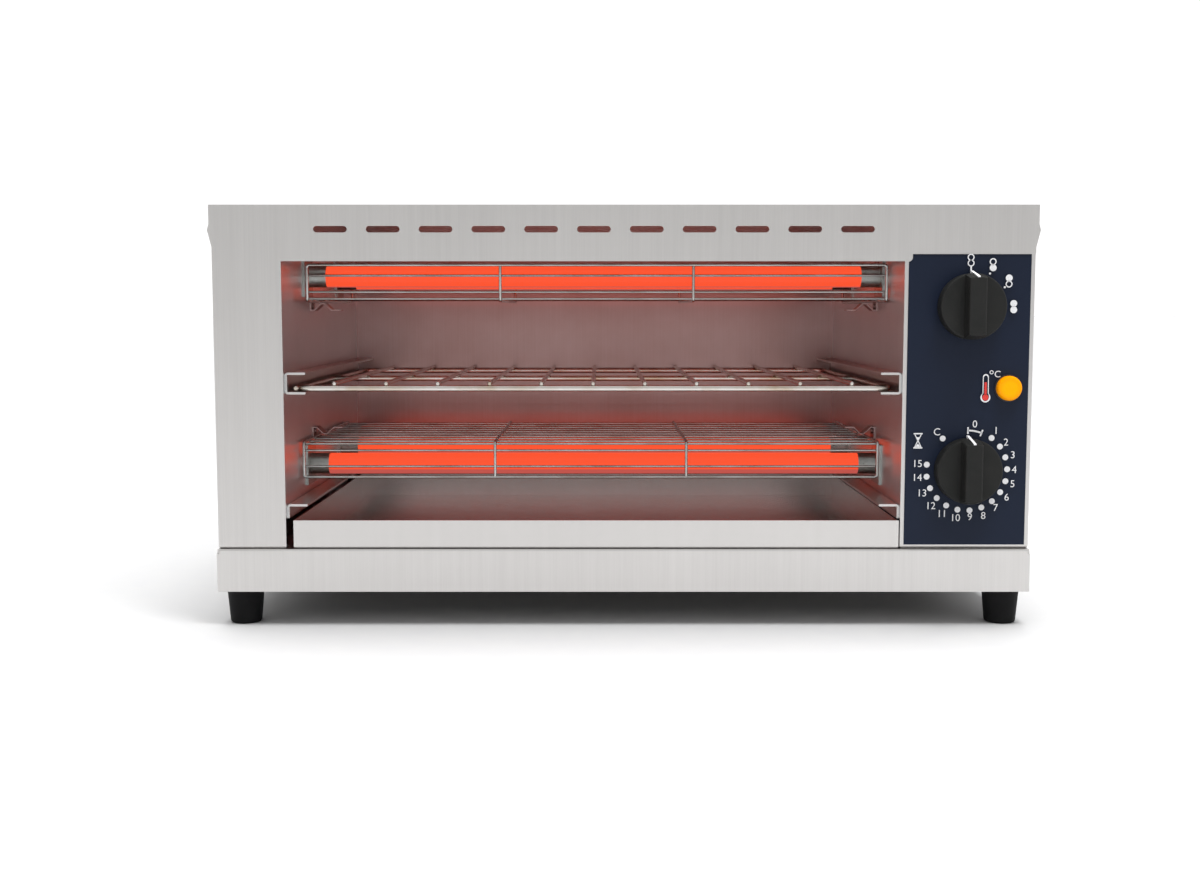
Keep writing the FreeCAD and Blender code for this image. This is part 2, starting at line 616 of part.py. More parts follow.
def make_top_cover():
    """Lid with flared side flanges and a rear flange."""
    body = new_body("top_cover")
    slab(body, "XY", "At.under_top", "Size.sheet",
         ("-At.cover_half", "Size.sheet", "At.cover_half", "Size.body_depth"))
    sketch = new_sketch(body, "XZ", "Size.sheet")
    draw_outline(sketch, [
        ("At.cover_half - Size.sheet", "At.under_top"),
        ("At.cover_half - Size.sheet", "At.flare_top"),
        ("At.cover_half - Size.sheet + Size.lip_flare", "At.lip_foot"),
        ("At.cover_half + Size.lip_flare", "At.lip_foot"),
        ("At.cover_half", "At.flare_top"),
        ("At.cover_half", "At.under_top"),
    ])
    flange = raise_sketch(body, sketch, "At.back_face")
    mirror(body, flange, "YZ")
    slab(body, "XZ", "At.back_face", "Size.sheet",
         ("Size.sheet - At.cover_half", "At.top - Size.rear_lip", "At.cover_half - Size.sheet", "At.under_top"))
    bore(body, "XZ", "At.back_face", "Size.sheet", COVER_SCREW_PLACES, "2 * At.screw_bore")
    bends = edges_at(body, x="At.cover_half", z="At.top") + edges_at(body, x="-At.cover_half", z="At.top")
    bends += edges_at(body, y="Size.body_depth", z="At.top")
    round_edges(body, bends, "Size.bend_radius")


def make_front_fascia():
    """Front plate: slotted rail over the opening and the stile on its left."""
    body = new_body("front_fascia")
    sketch = new_sketch(body, "XZ")
    draw_outline(sketch, [
        ("-At.cover_half", "At.top"),
        ("-At.cover_half", "At.flare_top"),
        ("-At.cover_half - Size.lip_flare", "At.lip_foot"),
        ("-At.half_body", "At.ear_foot"),
        ("-At.half_body", "At.deck + Size.fold"),
        ("At.opening_left", "At.deck + Size.fold"),
        ("At.opening_left", "At.opening_top"),
        ("At.rail_end", "At.opening_top", "Size.step_radius"),
        ("At.rail_end", "At.rail_foot"),
        ("At.half_body", "At.rail_foot"),
        ("At.half_body", "At.ear_foot"),
        ("At.cover_half + Size.lip_flare", "At.lip_foot"),
        ("At.cover_half", "At.flare_top"),
        ("At.cover_half", "At.top"),
    ])
    raise_sketch(body, sketch, "Size.sheet")
    fold_foot(body, "-At.half_body", "At.opening_left", "0")
    sketch = new_sketch(body, "XZ")
    first_slot = "At.opening_middle + Size.slot_shift - At.slot_pitch * %d" % (SLOT_COUNT // 2)
    draw_slot(sketch, first_slot, "At.slot_level", "Size.slot_length", "Size.slot_height")
    slot = cut_sketch(body, sketch, "Size.sheet")
    repeat(body, slot, "X", "At.slot_pitch", SLOT_COUNT)


def make_side_panel(label, side, front):
    """Side sheet folded inwards on all four edges; front is its first edge's depth."""
    body = new_body(label)
    near, inner, folded = "At.half_body", "(At.half_body - Size.sheet)", "(At.half_body - Size.fold)"
    lean = "(At.half_body - Size.front_fold)"
    rear = "At.panel_rear"

    def box(inside, low, outside, high):
        edges = (side + inside, side + outside)
        left, right = edges if side == "" else (edges[1], edges[0])
        return (left, low, right, high)

    slab(body, "XZ", front, "%s - (%s)" % (rear, front), box(inner, "At.deck", near, "At.under_top"))
    slab(body, "XZ", front, "Size.sheet",
         box(lean, "At.deck + Size.stile_bend + Size.sheet", near, "At.under_top"))
    slab(body, "XZ", "At.panel_rear - Size.sheet", "Size.sheet", box(folded, "At.deck", near, "At.under_top"))
    for level in ("At.deck", "At.under_top - Size.sheet"):
        slab(body, "XY", level, "Size.sheet",
             box(folded, "Size.fold + 2 * Size.sheet", inner, "At.panel_rear - 2 * Size.sheet"))
    bore(body, "XY", "At.deck", "Size.sheet",
         [place for place in BASE_SCREW_PLACES if place[0].startswith("-") == (side == "-")],
         "2 * At.screw_bore")
    bore(body, "XZ", "At.panel_rear - Size.sheet", "Size.sheet",
         [place for place in BACK_SCREW_PLACES if place[0].startswith("-") == (side == "-")],
         "2 * At.screw_bore")
    bends = edges_at(body, x=side + near, y=rear)
    round_edges(body, bends, "Size.bend_radius")


def make_back_panel():
    """Back sheet with a row of vents, a lower group of vents and the gland hole."""
    body = new_body("back_panel")
    slab(body, "XZ", "At.panel_rear", "Size.sheet",
         ("Size.running_gap - At.half_body", "At.deck + Size.running_gap",
          "At.half_body - Size.running_gap", "At.under_top - Size.running_gap"))
    bore(body, "XZ", "At.panel_rear", "Size.sheet", BACK_SCREW_PLACES + COVER_SCREW_PLACES,
         "2 * At.screw_bore")
    bore(body, "XZ", "At.panel_rear", "Size.sheet", [("At.gland_x", "At.gland")],
         "Size.gland_thread + 2 * Size.running_gap")
    sketch = new_sketch(body, "XZ", "At.panel_rear")
    first_slot = "At.opening_middle + Size.slot_shift - At.slot_pitch * %d" % (SLOT_COUNT // 2)
    draw_slot(sketch, first_slot, "At.opening_top", "Size.slot_length", "Size.slot_height")
    slot = cut_sketch(body, sketch, "Size.sheet")
    repeat(body, slot, "X", "At.slot_pitch", SLOT_COUNT)
    sketch = new_sketch(body, "XZ", "At.panel_rear")
    draw_slot(sketch, "At.gland_x - Size.fold", "At.pilot", "Size.slot_length", "Size.slot_height")
    slot = cut_sketch(body, sketch, "Size.sheet")
    repeat(body, slot, "Z", "2 * Size.slot_height", REAR_VENT_COUNT)


def make_base_pan():
    """Base folded from one sheet: deck, skirts and a bottom flange for the feet."""
    body = new_body("base_pan")
    outer = ("-At.base_half", "-Size.plinth_step", "At.base_half", "At.base_back")
    inner = ("Size.sheet - At.base_half", "Size.sheet - Size.plinth_step",
             "At.base_half - Size.sheet", "At.base_back - Size.sheet")
    mouth = ("Size.plinth_lip - At.base_half", "Size.plinth_lip - Size.plinth_step",
             "At.base_half - Size.plinth_lip", "At.base_back - Size.plinth_lip")
    slab(body, "XY", "Size.foot_height", "Size.plinth_height", outer)
    sketch = new_sketch(body, "XY", "Size.foot_height + Size.sheet")
    draw_rectangle(sketch, *inner)
    cut_sketch(body, sketch, "Size.plinth_height - 2 * Size.sheet")
    sketch = new_sketch(body, "XY", "Size.foot_height")
    draw_rectangle(sketch, *mouth)
    cut_sketch(body, sketch, "Size.sheet")
    edges = []
    for rule in ("At.base_half", "-At.base_half"):
        edges += edges_at(body, x=rule, z="At.deck")
    for rule in ("-Size.plinth_step", "At.base_back"):
        edges += edges_at(body, y=rule, z="At.deck")
    round_edges(body, edges, "Size.bend_radius")
    sketch = new_sketch(body, "XY", "At.deck - 2 * Size.notch")
    for left, right in (("-At.base_half", "Size.notch - At.base_half"),
                        ("At.base_half - Size.notch", "At.base_half")):
        for low, high in (("-Size.plinth_step", "Size.notch - Size.plinth_step"),
                          ("At.base_back - Size.notch", "At.base_back")):
            draw_rectangle(sketch, left, low, right, high)
    cut_sketch(body, sketch, "2 * Size.notch")
    bore(body, "XY", "Size.foot_height", "Size.sheet", FOOT_PLACES, "Size.foot_bore")
    bore(body, "XY", "At.deck - Size.sheet", "Size.sheet", BASE_SCREW_PLACES, "2 * At.screw_bore")
    bore(body, "XY", "At.deck - Size.sheet", "Size.sheet", [("At.earth", "Size.earth_setback")],
         "Size.earth_stud_diameter + 2 * Size.screw_clearance")
    sketch = new_sketch(body, "XY", "At.deck - Size.sheet")
    draw_slot(sketch, "At.knob_x", "Size.deck_vent_setback", "Size.deck_vent_length", "Size.slot_height")
    slot = cut_sketch(body, sketch, "Size.sheet")
    repeat(body, slot, "Y", "Size.deck_vent_pitch", DECK_VENT_COUNT)


def make_foot(label, x, y):
    """Tapered foot with a recess for its screw."""
    body = new_body(label, x, y)
    sketch = new_sketch(body, "XZ")
    draw_outline(sketch, [
        ("Size.foot_bore / 2", "Size.foot_height"),
        ("Size.foot_top_diameter / 2", "Size.foot_height"),
        ("Size.foot_tip_diameter / 2", "0"),
        ("Size.foot_recess_diameter / 2", "0"),
        ("Size.foot_recess_diameter / 2", "Size.foot_recess_depth"),
        ("Size.foot_bore / 2", "Size.foot_recess_depth"),
    ])
    turned = body.newObject("PartDesign::Revolution", label + "_turned")
    turned.Profile = sketch
    turned.ReferenceAxis = (sketch, ["V_Axis"])
    turned.Angle = 360
    doc.recompute()
    tip = value("Size.foot_tip_diameter / 2")
    names = ["Edge%d" % index for index, edge in enumerate(body.Tip.Shape.Edges, start=1)
             if isinstance(edge.Curve, Part.Circle) and abs(edge.Curve.Radius - tip) < TOUCH]
    round_edges(body, names, "Size.foot_edge_radius")


def make_foot_screws():
    body = new_body("foot_screws")
    discs(body, "XY", "Size.foot_recess_depth - 1.5 * Size.screw_head_height",
          "1.5 * Size.screw_head_height", FOOT_PLACES, "Size.foot_recess_diameter - Size.sheet")
    discs(body, "XY", "Size.foot_recess_depth", "At.foot_grip", FOOT_PLACES, "Size.foot_screw_diameter")


def make_nuts(label, plane, level, height, places, across_flats, hole):
    """Hexagon nuts, each with its bore."""
    body = new_body(label)
    sketch = new_sketch(body, plane, level)
    for x, y in places:
        draw_hexagon(sketch, x, y, across_flats)
        draw_circle(sketch, x, y, hole)
    raise_sketch(body, sketch, height)
    return body


def make_screws(label, plane, face, inwards, places):
    """Pan-head screws with their heads on a face and shanks going inwards from it."""
    body = new_body(label)
    for diameter, length, forward in (("Size.screw_head_diameter", "Size.screw_head_height", not inwards),
                                      ("Size.screw_diameter", "Size.screw_length", inwards)):
        sketch = new_sketch(body, plane, face)
        for x, y in places:
            draw_circle(sketch, x, y, diameter)
        raise_sketch(body, sketch, length, forward)


# Toasting chamber


def make_side_wall(label, side, face, front):
    """Chamber side: the wall, its front flange and the step beside the tray."""
    body = new_body(label)

    def out(distance):
        return "%s %s (%s)" % (face, "+" if side == "" else "-", distance)

    def profile(points, start, end):
        sketch = new_sketch(body, "XZ", start)
        draw_outline(sketch, [(out(distance), level) for distance, level in points])
        return raise_sketch(body, sketch, "%s - (%s)" % (end, start))

    rear = "At.chamber_back + Size.fold"
    profile([("0", "At.wall_foot"), ("0", "At.under_top"),
             ("Size.liner", "At.under_top"), ("Size.liner", "At.wall_foot")], front, rear)
    profile([("0", "At.wall_foot"), ("0", "At.lip_foot"),
             ("Size.fold", "At.lip_foot"), ("Size.fold", "At.wall_foot")], front, "%s + Size.liner" % front)
    profile([("0", "At.wall_foot"), ("0", "At.wall_foot + Size.liner"),
             ("Size.wall_step", "At.wall_foot + Size.liner"), ("Size.wall_step", "At.deck + Size.liner"),
             ("Size.wall_step + Size.fold", "At.deck + Size.liner"), ("Size.wall_step + Size.fold", "At.deck"),
             ("Size.wall_step - Size.liner", "At.deck"), ("Size.wall_step - Size.liner", "At.wall_foot")],
            "Size.fold + 2 * Size.sheet", rear)
    level = face if side == "" else face + " - Size.liner"
    bore(body, "YZ", level, "Size.liner", TUBE_PLACES, "Size.wall_bore")
    bore(body, "YZ", level, "Size.liner", RIVET_PLACES, "Size.rivet_diameter + 2 * Size.shaft_gap")


def make_back_wall():
    """Chamber back: sheet with rearward flanges at both sides and on the deck."""
    body = new_body("chamber_back_wall")
    sketch = new_sketch(body, "XY", "At.deck")
    draw_outline(sketch, [
        ("At.opening_left", "At.chamber_back"),
        ("At.opening_right", "At.chamber_back"),
        ("At.opening_right", "At.chamber_back + Size.fold"),
        ("At.opening_right - Size.liner", "At.chamber_back + Size.fold"),
        ("At.opening_right - Size.liner", "At.chamber_back + Size.liner"),
        ("At.opening_left + Size.liner", "At.chamber_back + Size.liner"),
        ("At.opening_left + Size.liner", "At.chamber_back + Size.fold"),
        ("At.opening_left", "At.chamber_back + Size.fold"),
    ])
    raise_sketch(body, sketch, "At.under_top - At.deck")
    slab(body, "XY", "At.deck", "Size.liner",
         ("At.opening_left + Size.fold", "At.chamber_back",
          "At.opening_right - Size.fold", "At.chamber_back + Size.fold"))


def make_grid_rail(label, side, face):
    """C-section rail, open towards the chamber."""
    body = new_body(label)

    def inwards(distance):
        return "%s %s (%s)" % (face, "-" if side == "" else "+", distance)

    foot, high = "At.grid_rail_foot", "At.grid_rail_foot + Size.channel_height"
    sheet, flange = "Size.rail_sheet", "Size.rail_flange"
    bend, inner_bend = "Size.rail_bend", "(Size.rail_bend - Size.rail_sheet)"
    sketch = new_sketch(body, "XZ", "Size.rail_setback")
    draw_outline(sketch, [
        (inwards("0"), foot, bend), (inwards("0"), high, bend), (inwards(flange), high),
        (inwards(flange), high + " - " + sheet), (inwards(sheet), high + " - " + sheet, inner_bend),
        (inwards(sheet), foot + " + " + sheet, inner_bend), (inwards(flange), foot + " + " + sheet),
        (inwards(flange), foot),
    ])
    raise_sketch(body, sketch, "At.chamber_back - Size.rail_setback")


def make_tray_rail(label, side, face):
    """Angle over the edge of the tray, which keeps it from tipping as it is drawn."""
    body = new_body(label)

    def inwards(distance):
        return "%s %s (%s)" % (face, "-" if side == "" else "+", distance)

    high, sheet = "At.tray_rail_top", "Size.rail_sheet"
    sketch = new_sketch(body, "XZ", "Size.rail_setback")
    draw_outline(sketch, [
        (inwards("0"), high, "Size.rail_bend"), (inwards("Size.rail_flange"), high),
        (inwards("Size.rail_flange"), high + " - " + sheet),
        (inwards(sheet), high + " - " + sheet, "(Size.rail_bend - Size.rail_sheet)"),
        (inwards(sheet), high + " - Size.tray_rail_web"), (inwards("0"), high + " - Size.tray_rail_web"),
    ])
    raise_sketch(body, sketch, "At.chamber_back - Size.rail_setback")


def make_toasting_grid():
    """Welded grid: a round-cornered rim, a middle wire and bars from front to back."""
    body = new_body("toasting_grid", "At.opening_middle", "0", "0")
    left, right = "-At.grid_half", "At.grid_half"
    path = new_sketch(body, "XY", "At.grid_axis")
    bend = "Size.grid_corner"
    draw_outline(path, [("0", "At.grid_front"), (right, "At.grid_front", bend), (right, "At.grid_rear", bend),
                        (left, "At.grid_rear", bend), (left, "At.grid_front", bend)])
    profile = new_sketch(body, "YZ")
    draw_circle(profile, "At.grid_front", "At.grid_axis", "Size.grid_wire")
    sweep(body, profile, path)
    sketch = new_sketch(body, "YZ", left)
    draw_circle(sketch, "(At.grid_front + At.grid_rear) / 2", "At.grid_axis", "Size.grid_wire")
    raise_sketch(body, sketch, "2 * At.grid_half")
    sketch = new_sketch(body, "XZ", "At.grid_front - Size.grid_wire / 2")
    draw_circle(sketch, "-At.bar_pitch * %d" % (GRID_BAR_COUNT // 2), "At.bar_axis", "Size.cross_wire")
    bar = raise_sketch(body, sketch, "At.grid_rear - At.grid_front + Size.grid_wire")
    repeat(body, bar, "X", "At.bar_pitch", GRID_BAR_COUNT)


def make_crumb_tray():
    """Shallow tray that slides on the deck."""
    body = new_body("crumb_tray", "At.opening_middle + Size.tray_shift", "0", "At.tray_foot")
    half = "At.tray_width / 2"
    slab(body, "XY", "0", "Size.tray_height", ("-" + half, "0", half, "At.tray_depth"))
    edges = []
    for x in ("-" + half, half):
        edges += edges_at(body, x=x, z="0")
    for y in ("0", "At.tray_depth"):
        edges += edges_at(body, y=y, z="0")
    round_edges(body, edges, "Size.tray_bend")
    sketch = new_sketch(body, "XY", "Size.tray_sheet")
    draw_rectangle(sketch, "Size.tray_sheet - " + half, "Size.tray_sheet",
                   half + " - Size.tray_sheet", "At.tray_depth - Size.tray_sheet")
    cut_sketch(body, sketch, "Size.tray_height")


# Heating tubes and their guards


def make_tube(label, depth, level):
    body = new_body(label, "At.opening_middle", depth, level)
    sketch = new_sketch(body, "YZ", "-At.tube_length / 2")
    draw_circle(sketch, "0", "0", "Size.tube_diameter")
    draw_circle(sketch, "0", "0", "Size.tube_diameter - 2 * Size.tube_wall")
    raise_sketch(body, sketch, "At.tube_length")


def make_heating_coils():
    """Envelopes of the close-wound coils inside the tubes."""
    body = new_body("heating_coils", "At.opening_middle")
    sketch = new_sketch(body, "YZ", "-At.tube_length / 2")
    for y, z in TUBE_PLACES:
        draw_circle(sketch, y, z, "Size.coil_diameter")
        draw_circle(sketch, y, z, "Size.coil_diameter - 2 * Size.coil_wire")
    raise_sketch(body, sketch, "At.tube_length")


def make_tube_caps(label, level):
    """Metal caps with ceramic necks at both ends of two tubes."""
    body = new_body(label, "At.opening_middle", "0", level)
    places = [("Size.tube_setback", "0"), ("At.rear_tube", "0")]
    discs(body, "YZ", "At.tube_length / 2", "Size.cap_length", places, "Size.tube_diameter")
    discs(body, "YZ", "At.tube_length / 2 + Size.cap_length", "Size.neck_length", places, "Size.neck_diameter")
    discs(body, "YZ", "-At.tube_length / 2 - Size.cap_length", "Size.cap_length", places, "Size.tube_diameter")
    discs(body, "YZ", "-At.tube_length / 2 - Size.cap_length - Size.neck_length", "Size.neck_length",
          places, "Size.neck_diameter")


TUBE_END = "At.tube_length / 2 + Size.cap_length + Size.neck_length"


def make_tube_terminals():
    body = new_body("tube_terminals", "At.opening_middle")
    discs(body, "YZ", TUBE_END, "Size.stud_length", TUBE_PLACES, "Size.stud_diameter")
    discs(body, "YZ", "-(%s) - Size.stud_length" % TUBE_END, "Size.stud_length", TUBE_PLACES, "Size.stud_diameter")


def make_terminal_nuts():
    """Nuts halfway along the terminal studs."""
    middle = "(%s + Size.stud_length / 2)" % TUBE_END
    body = new_body("terminal_nuts", "At.opening_middle")
    for level in ("%s - Size.stud_nut_height / 2" % middle, "-%s - Size.stud_nut_height / 2" % middle):
        sketch = new_sketch(body, "YZ", level)
        for y, z in TUBE_PLACES:
            draw_hexagon(sketch, y, z, "Size.stud_nut_width")
            draw_circle(sketch, y, z, "Size.stud_diameter + 2 * Size.shaft_gap")
        raise_sketch(body, sketch, "Size.stud_nut_height")


def make_tube_end_plates():
    """Square plates on the chamber walls, each with a hole for its tube cap."""
    body = new_body("tube_end_plates")
    for level in ("At.opening_left", "At.opening_right - Size.plate_sheet"):
        sketch = new_sketch(body, "YZ", level)
        for y, z in TUBE_PLACES:
            reach = "Size.plate_size / 2"
            draw_rectangle(sketch, "%s - %s" % (y, reach), "%s - %s" % (z, reach),
                           "%s + %s" % (y, reach), "%s + %s" % (z, reach))
            draw_circle(sketch, y, z, "Size.tube_diameter + 2 * Size.running_gap")
        raise_sketch(body, sketch, "Size.plate_sheet")


def make_guard(label, shift, level, side):
    """Wire basket round two tubes: bent hoops, a looped front and rear, straight wires.

    The food side is at height 0 and the tubes lie on the side that side names.
    """
    body = new_body(label, "At.opening_middle + " + shift, "At.guard_front", level)
    half, height = "At.guard_length / 2", "%sSize.guard_height" % side
    wire, run, bend = "Size.guard_wire", "Size.guard_run_wire", "Size.guard_corner"
    offset = "At.weld_offset"
    path = new_sketch(body, "YZ", "-" + half)
    hoop_top = "%s(Size.guard_height - Size.guard_wire / 2 + Size.weld_bite)" % side
    draw_outline(path, [("0", hoop_top), ("0", "0", bend), ("At.guard_depth", "0", bend),
                        ("At.guard_depth", hoop_top)], False)
    profile = new_sketch(body, "XY", hoop_top)
    draw_circle(profile, "-" + half, "0", wire)
    hoop = sweep(body, profile, path)
    repeat(body, hoop, "X", "At.guard_length / %d" % (GUARD_HOOP_COUNT - 1), GUARD_HOOP_COUNT)
    leg = "%s(Size.guard_height - 2 * Size.guard_corner)" % side
    path = new_sketch(body, "XZ")
    draw_outline(path, [("-" + half, leg), ("-" + half, height, bend), (half, height, bend), (half, leg)], False)
    profile = new_sketch(body, "XY", leg)
    draw_circle(profile, "-" + half, "0", wire)
    loop = sweep(body, profile, path)
    repeat(body, loop, "Y", "At.guard_depth", 2)
    sketch = new_sketch(body, "YZ", "-" + half)
    for rise in ("Size.guard_low_wire", "Size.guard_high_wire"):
        draw_circle(sketch, offset, side + rise, run)
    raise_sketch(body, sketch, "At.guard_length")
    sketch = new_sketch(body, "YZ", "-" + half)
    draw_circle(sketch, offset, side + offset, run)
    bar = raise_sketch(body, sketch, "At.guard_length")
    repeat(body, bar, "Y", "At.guard_bar_pitch", GUARD_BAR_COUNT)


def make_guard_clips():
    """Spring strips folded round the end wires of the guards, two for each guard."""
    body = new_body("guard_clips")
    for face, way in (("At.opening_left", "+"), ("At.opening_right", "-")):
        for level, food in (("At.upper_guard", "-"), ("At.lower_guard", "+")):
            def spot(inwards, towards_food):
                return ("%s %s (%s)" % (face, way, inwards), "%s %s (%s)" % (level, food, towards_food))

            flat, gap, sheet = "At.clip_flat", "At.clip_gap", "Size.clip_sheet"
            start, peak, width = "Size.clip_arch_start", "Size.clip_arch_peak", "Size.clip_arch_flat"
            arch_end = "2 * %s - %s" % (peak, start)
            sketch = new_sketch(body, "XZ", "At.clip_middle - Size.clip_width / 2")
            draw_outline(sketch, [
                spot("0", "-%s - %s" % (gap, sheet)), spot("Size.clip_back_reach", "-%s - %s" % (gap, sheet)),
                spot("Size.clip_back_reach", "-" + gap), spot(sheet, "-" + gap), spot(sheet, flat),
                spot(start, flat), spot("%s - %s / 2" % (peak, width), gap),
                spot("%s + %s / 2" % (peak, width), gap), spot(arch_end, flat),
                spot("Size.clip_reach", flat), spot("Size.clip_reach", "%s + %s" % (flat, sheet)),
                spot(arch_end, "%s + %s" % (flat, sheet)),
                spot("%s + %s / 2" % (peak, width), "%s + %s" % (gap, sheet)),
                spot("%s - %s / 2" % (peak, width), "%s + %s" % (gap, sheet)),
                spot(start, "%s + %s" % (flat, sheet)), spot("0", "%s + %s" % (flat, sheet)),
            ])
            raise_sketch(body, sketch, "Size.clip_width")
    for level in ("At.opening_left", "At.opening_right - Size.clip_sheet"):
        bore(body, "YZ", level, "Size.clip_sheet", RIVET_PLACES, "Size.rivet_diameter + 2 * Size.shaft_gap")


def make_clip_rivets():
    """Rivets through the clips and the chamber walls."""
    body = new_body("clip_rivets")
    shank = "Size.clip_sheet + Size.liner"
    for head, foot in (("At.opening_left + Size.clip_sheet", "At.opening_left - Size.liner"),
                       ("At.opening_right - Size.clip_sheet - Size.rivet_head_height",
                        "At.opening_right - Size.clip_sheet")):
        discs(body, "YZ", head, "Size.rivet_head_height", RIVET_PLACES, "Size.rivet_head")
        discs(body, "YZ", foot, shank, RIVET_PLACES, "Size.rivet_diameter")


# Control panel


def make_control_panel():
    """Steel panel behind the overlay, with its foot folded onto the deck."""
    body = new_body("control_panel")
    slab(body, "XZ", "At.panel_front", "Size.sheet",
         ("At.opening_right", "At.deck + Size.fold", "At.half_body", "At.top - Size.panel_top_drop"))
    fold_foot(body, "At.opening_right", "At.half_body", "At.panel_front")
    shafts = [("At.knob_x", "At.selector"), ("At.knob_x", "At.timer")]
    bore(body, "XZ", "At.panel_front", "Size.sheet", shafts, "Size.bush_diameter + 2 * Size.bush_gap")
    screws = [("At.knob_x + (%s)" % offset, level) for offset in DEVICE_SCREW_OFFSETS
              for level in ("At.selector", "At.timer")]
    bore(body, "XZ", "At.panel_front", "Size.sheet", screws,
         "Size.device_screw_diameter + 2 * Size.screw_clearance")
    bore(body, "XZ", "At.panel_front", "Size.sheet", [("At.pilot_x", "At.pilot")],
         "Size.pilot_diameter + 2 * Size.bush_gap")


def make_control_overlay():
    """Printed film, cut round the step of the rail, the shafts and the lamp."""
    body = new_body("control_overlay")
    gap = "Size.running_gap"
    sketch = new_sketch(body, "XZ", "At.overlay_front")
    draw_outline(sketch, [
        ("At.overlay_left", "At.overlay_foot"),
        ("At.overlay_right", "At.overlay_foot"),
        ("At.overlay_right", "At.rail_foot - " + gap),
        ("At.rail_end + " + gap, "At.rail_foot - " + gap),
        ("At.rail_end + " + gap, "At.opening_top - " + gap, "Size.step_radius + " + gap),
        ("At.overlay_left", "At.opening_top - " + gap),
    ])
    raise_sketch(body, sketch, "Size.overlay_sheet")
    shafts = [("At.knob_x", "At.selector"), ("At.knob_x", "At.timer")]
    bore(body, "XZ", "At.overlay_front", "Size.overlay_sheet", shafts,
         "Size.bush_diameter + 2 * Size.bush_gap")
    screws = [("At.knob_x + (%s)" % offset, level) for offset in DEVICE_SCREW_OFFSETS
              for level in ("At.selector", "At.timer")]
    bore(body, "XZ", "At.overlay_front", "Size.overlay_sheet", screws,
         "Size.device_screw_head + 2 * Size.screw_clearance")
    bore(body, "XZ", "At.overlay_front", "Size.overlay_sheet", [("At.pilot_x", "At.pilot")],
         "Size.pilot_diameter + 2 * Size.bush_gap")


def make_device(label, level, drum):
    """Timer or selector switch: plate, bush, case and spade terminals."""
    body = new_body(label, "At.knob_x", "At.panel_back", level)
    half_width, half_height = "Size.device_plate_width / 2", "Size.device_plate_height / 2"
    slab(body, "XZ", "0", "Size.device_plate", ("-" + half_width, "-" + half_height, half_width, half_height))
    discs(body, "XZ", "-Size.sheet", "Size.sheet", [("0", "0")], "Size.bush_diameter")
    if drum:
        length = "Size.timer_length"
        discs(body, "XZ", "Size.device_plate", length, [("0", "0")], "Size.timer_diameter")
    else:
        length = "Size.switch_length"
        half = "Size.switch_width / 2"
        slab(body, "XZ", "Size.device_plate", length, ("-" + half, "-" + half, half, half))
    back = "Size.device_plate + " + length
    sketch = new_sketch(body, "XZ", back)
    for turn in range(4):
        across, along = ("-1", "1")[turn % 2], ("-1", "1")[turn // 2]
        x, z = across + " * Size.terminal_width", along + " * Size.terminal_width"
        draw_rectangle(sketch, "%s - Size.terminal_width / 2" % x, "%s - Size.terminal_sheet / 2" % z,
                       "%s + Size.terminal_width / 2" % x, "%s + Size.terminal_sheet / 2" % z)
    raise_sketch(body, sketch, "Size.terminal_length")
    bore(body, "XZ", "-Size.sheet", "Size.sheet + Size.shaft_in_body", [("0", "0")],
         "Size.shaft_diameter + 2 * Size.shaft_gap")
    screws = [(offset, "0") for offset in DEVICE_SCREW_OFFSETS]
    bore(body, "XZ", "0", "Size.device_screw_length", screws,
         "Size.device_screw_diameter + 2 * Size.shaft_gap")


def make_shaft(label, level):
    """D-section shaft from inside the device to inside the knob."""
    body = new_body(label, "At.knob_x", "0", level)
    end = "At.panel_back + Size.shaft_in_body - Size.running_gap"
    discs(body, "XZ", "-Size.shaft_in_knob", "Size.shaft_in_knob + " + end, [("0", "0")], "Size.shaft_diameter")
    sketch = new_sketch(body, "XZ", "-Size.shaft_in_knob")
    draw_rectangle(sketch, "-Size.shaft_diameter", "Size.shaft_flat", "Size.shaft_diameter", "Size.shaft_diameter")
    cut_sketch(body, sketch, "Size.shaft_in_knob")


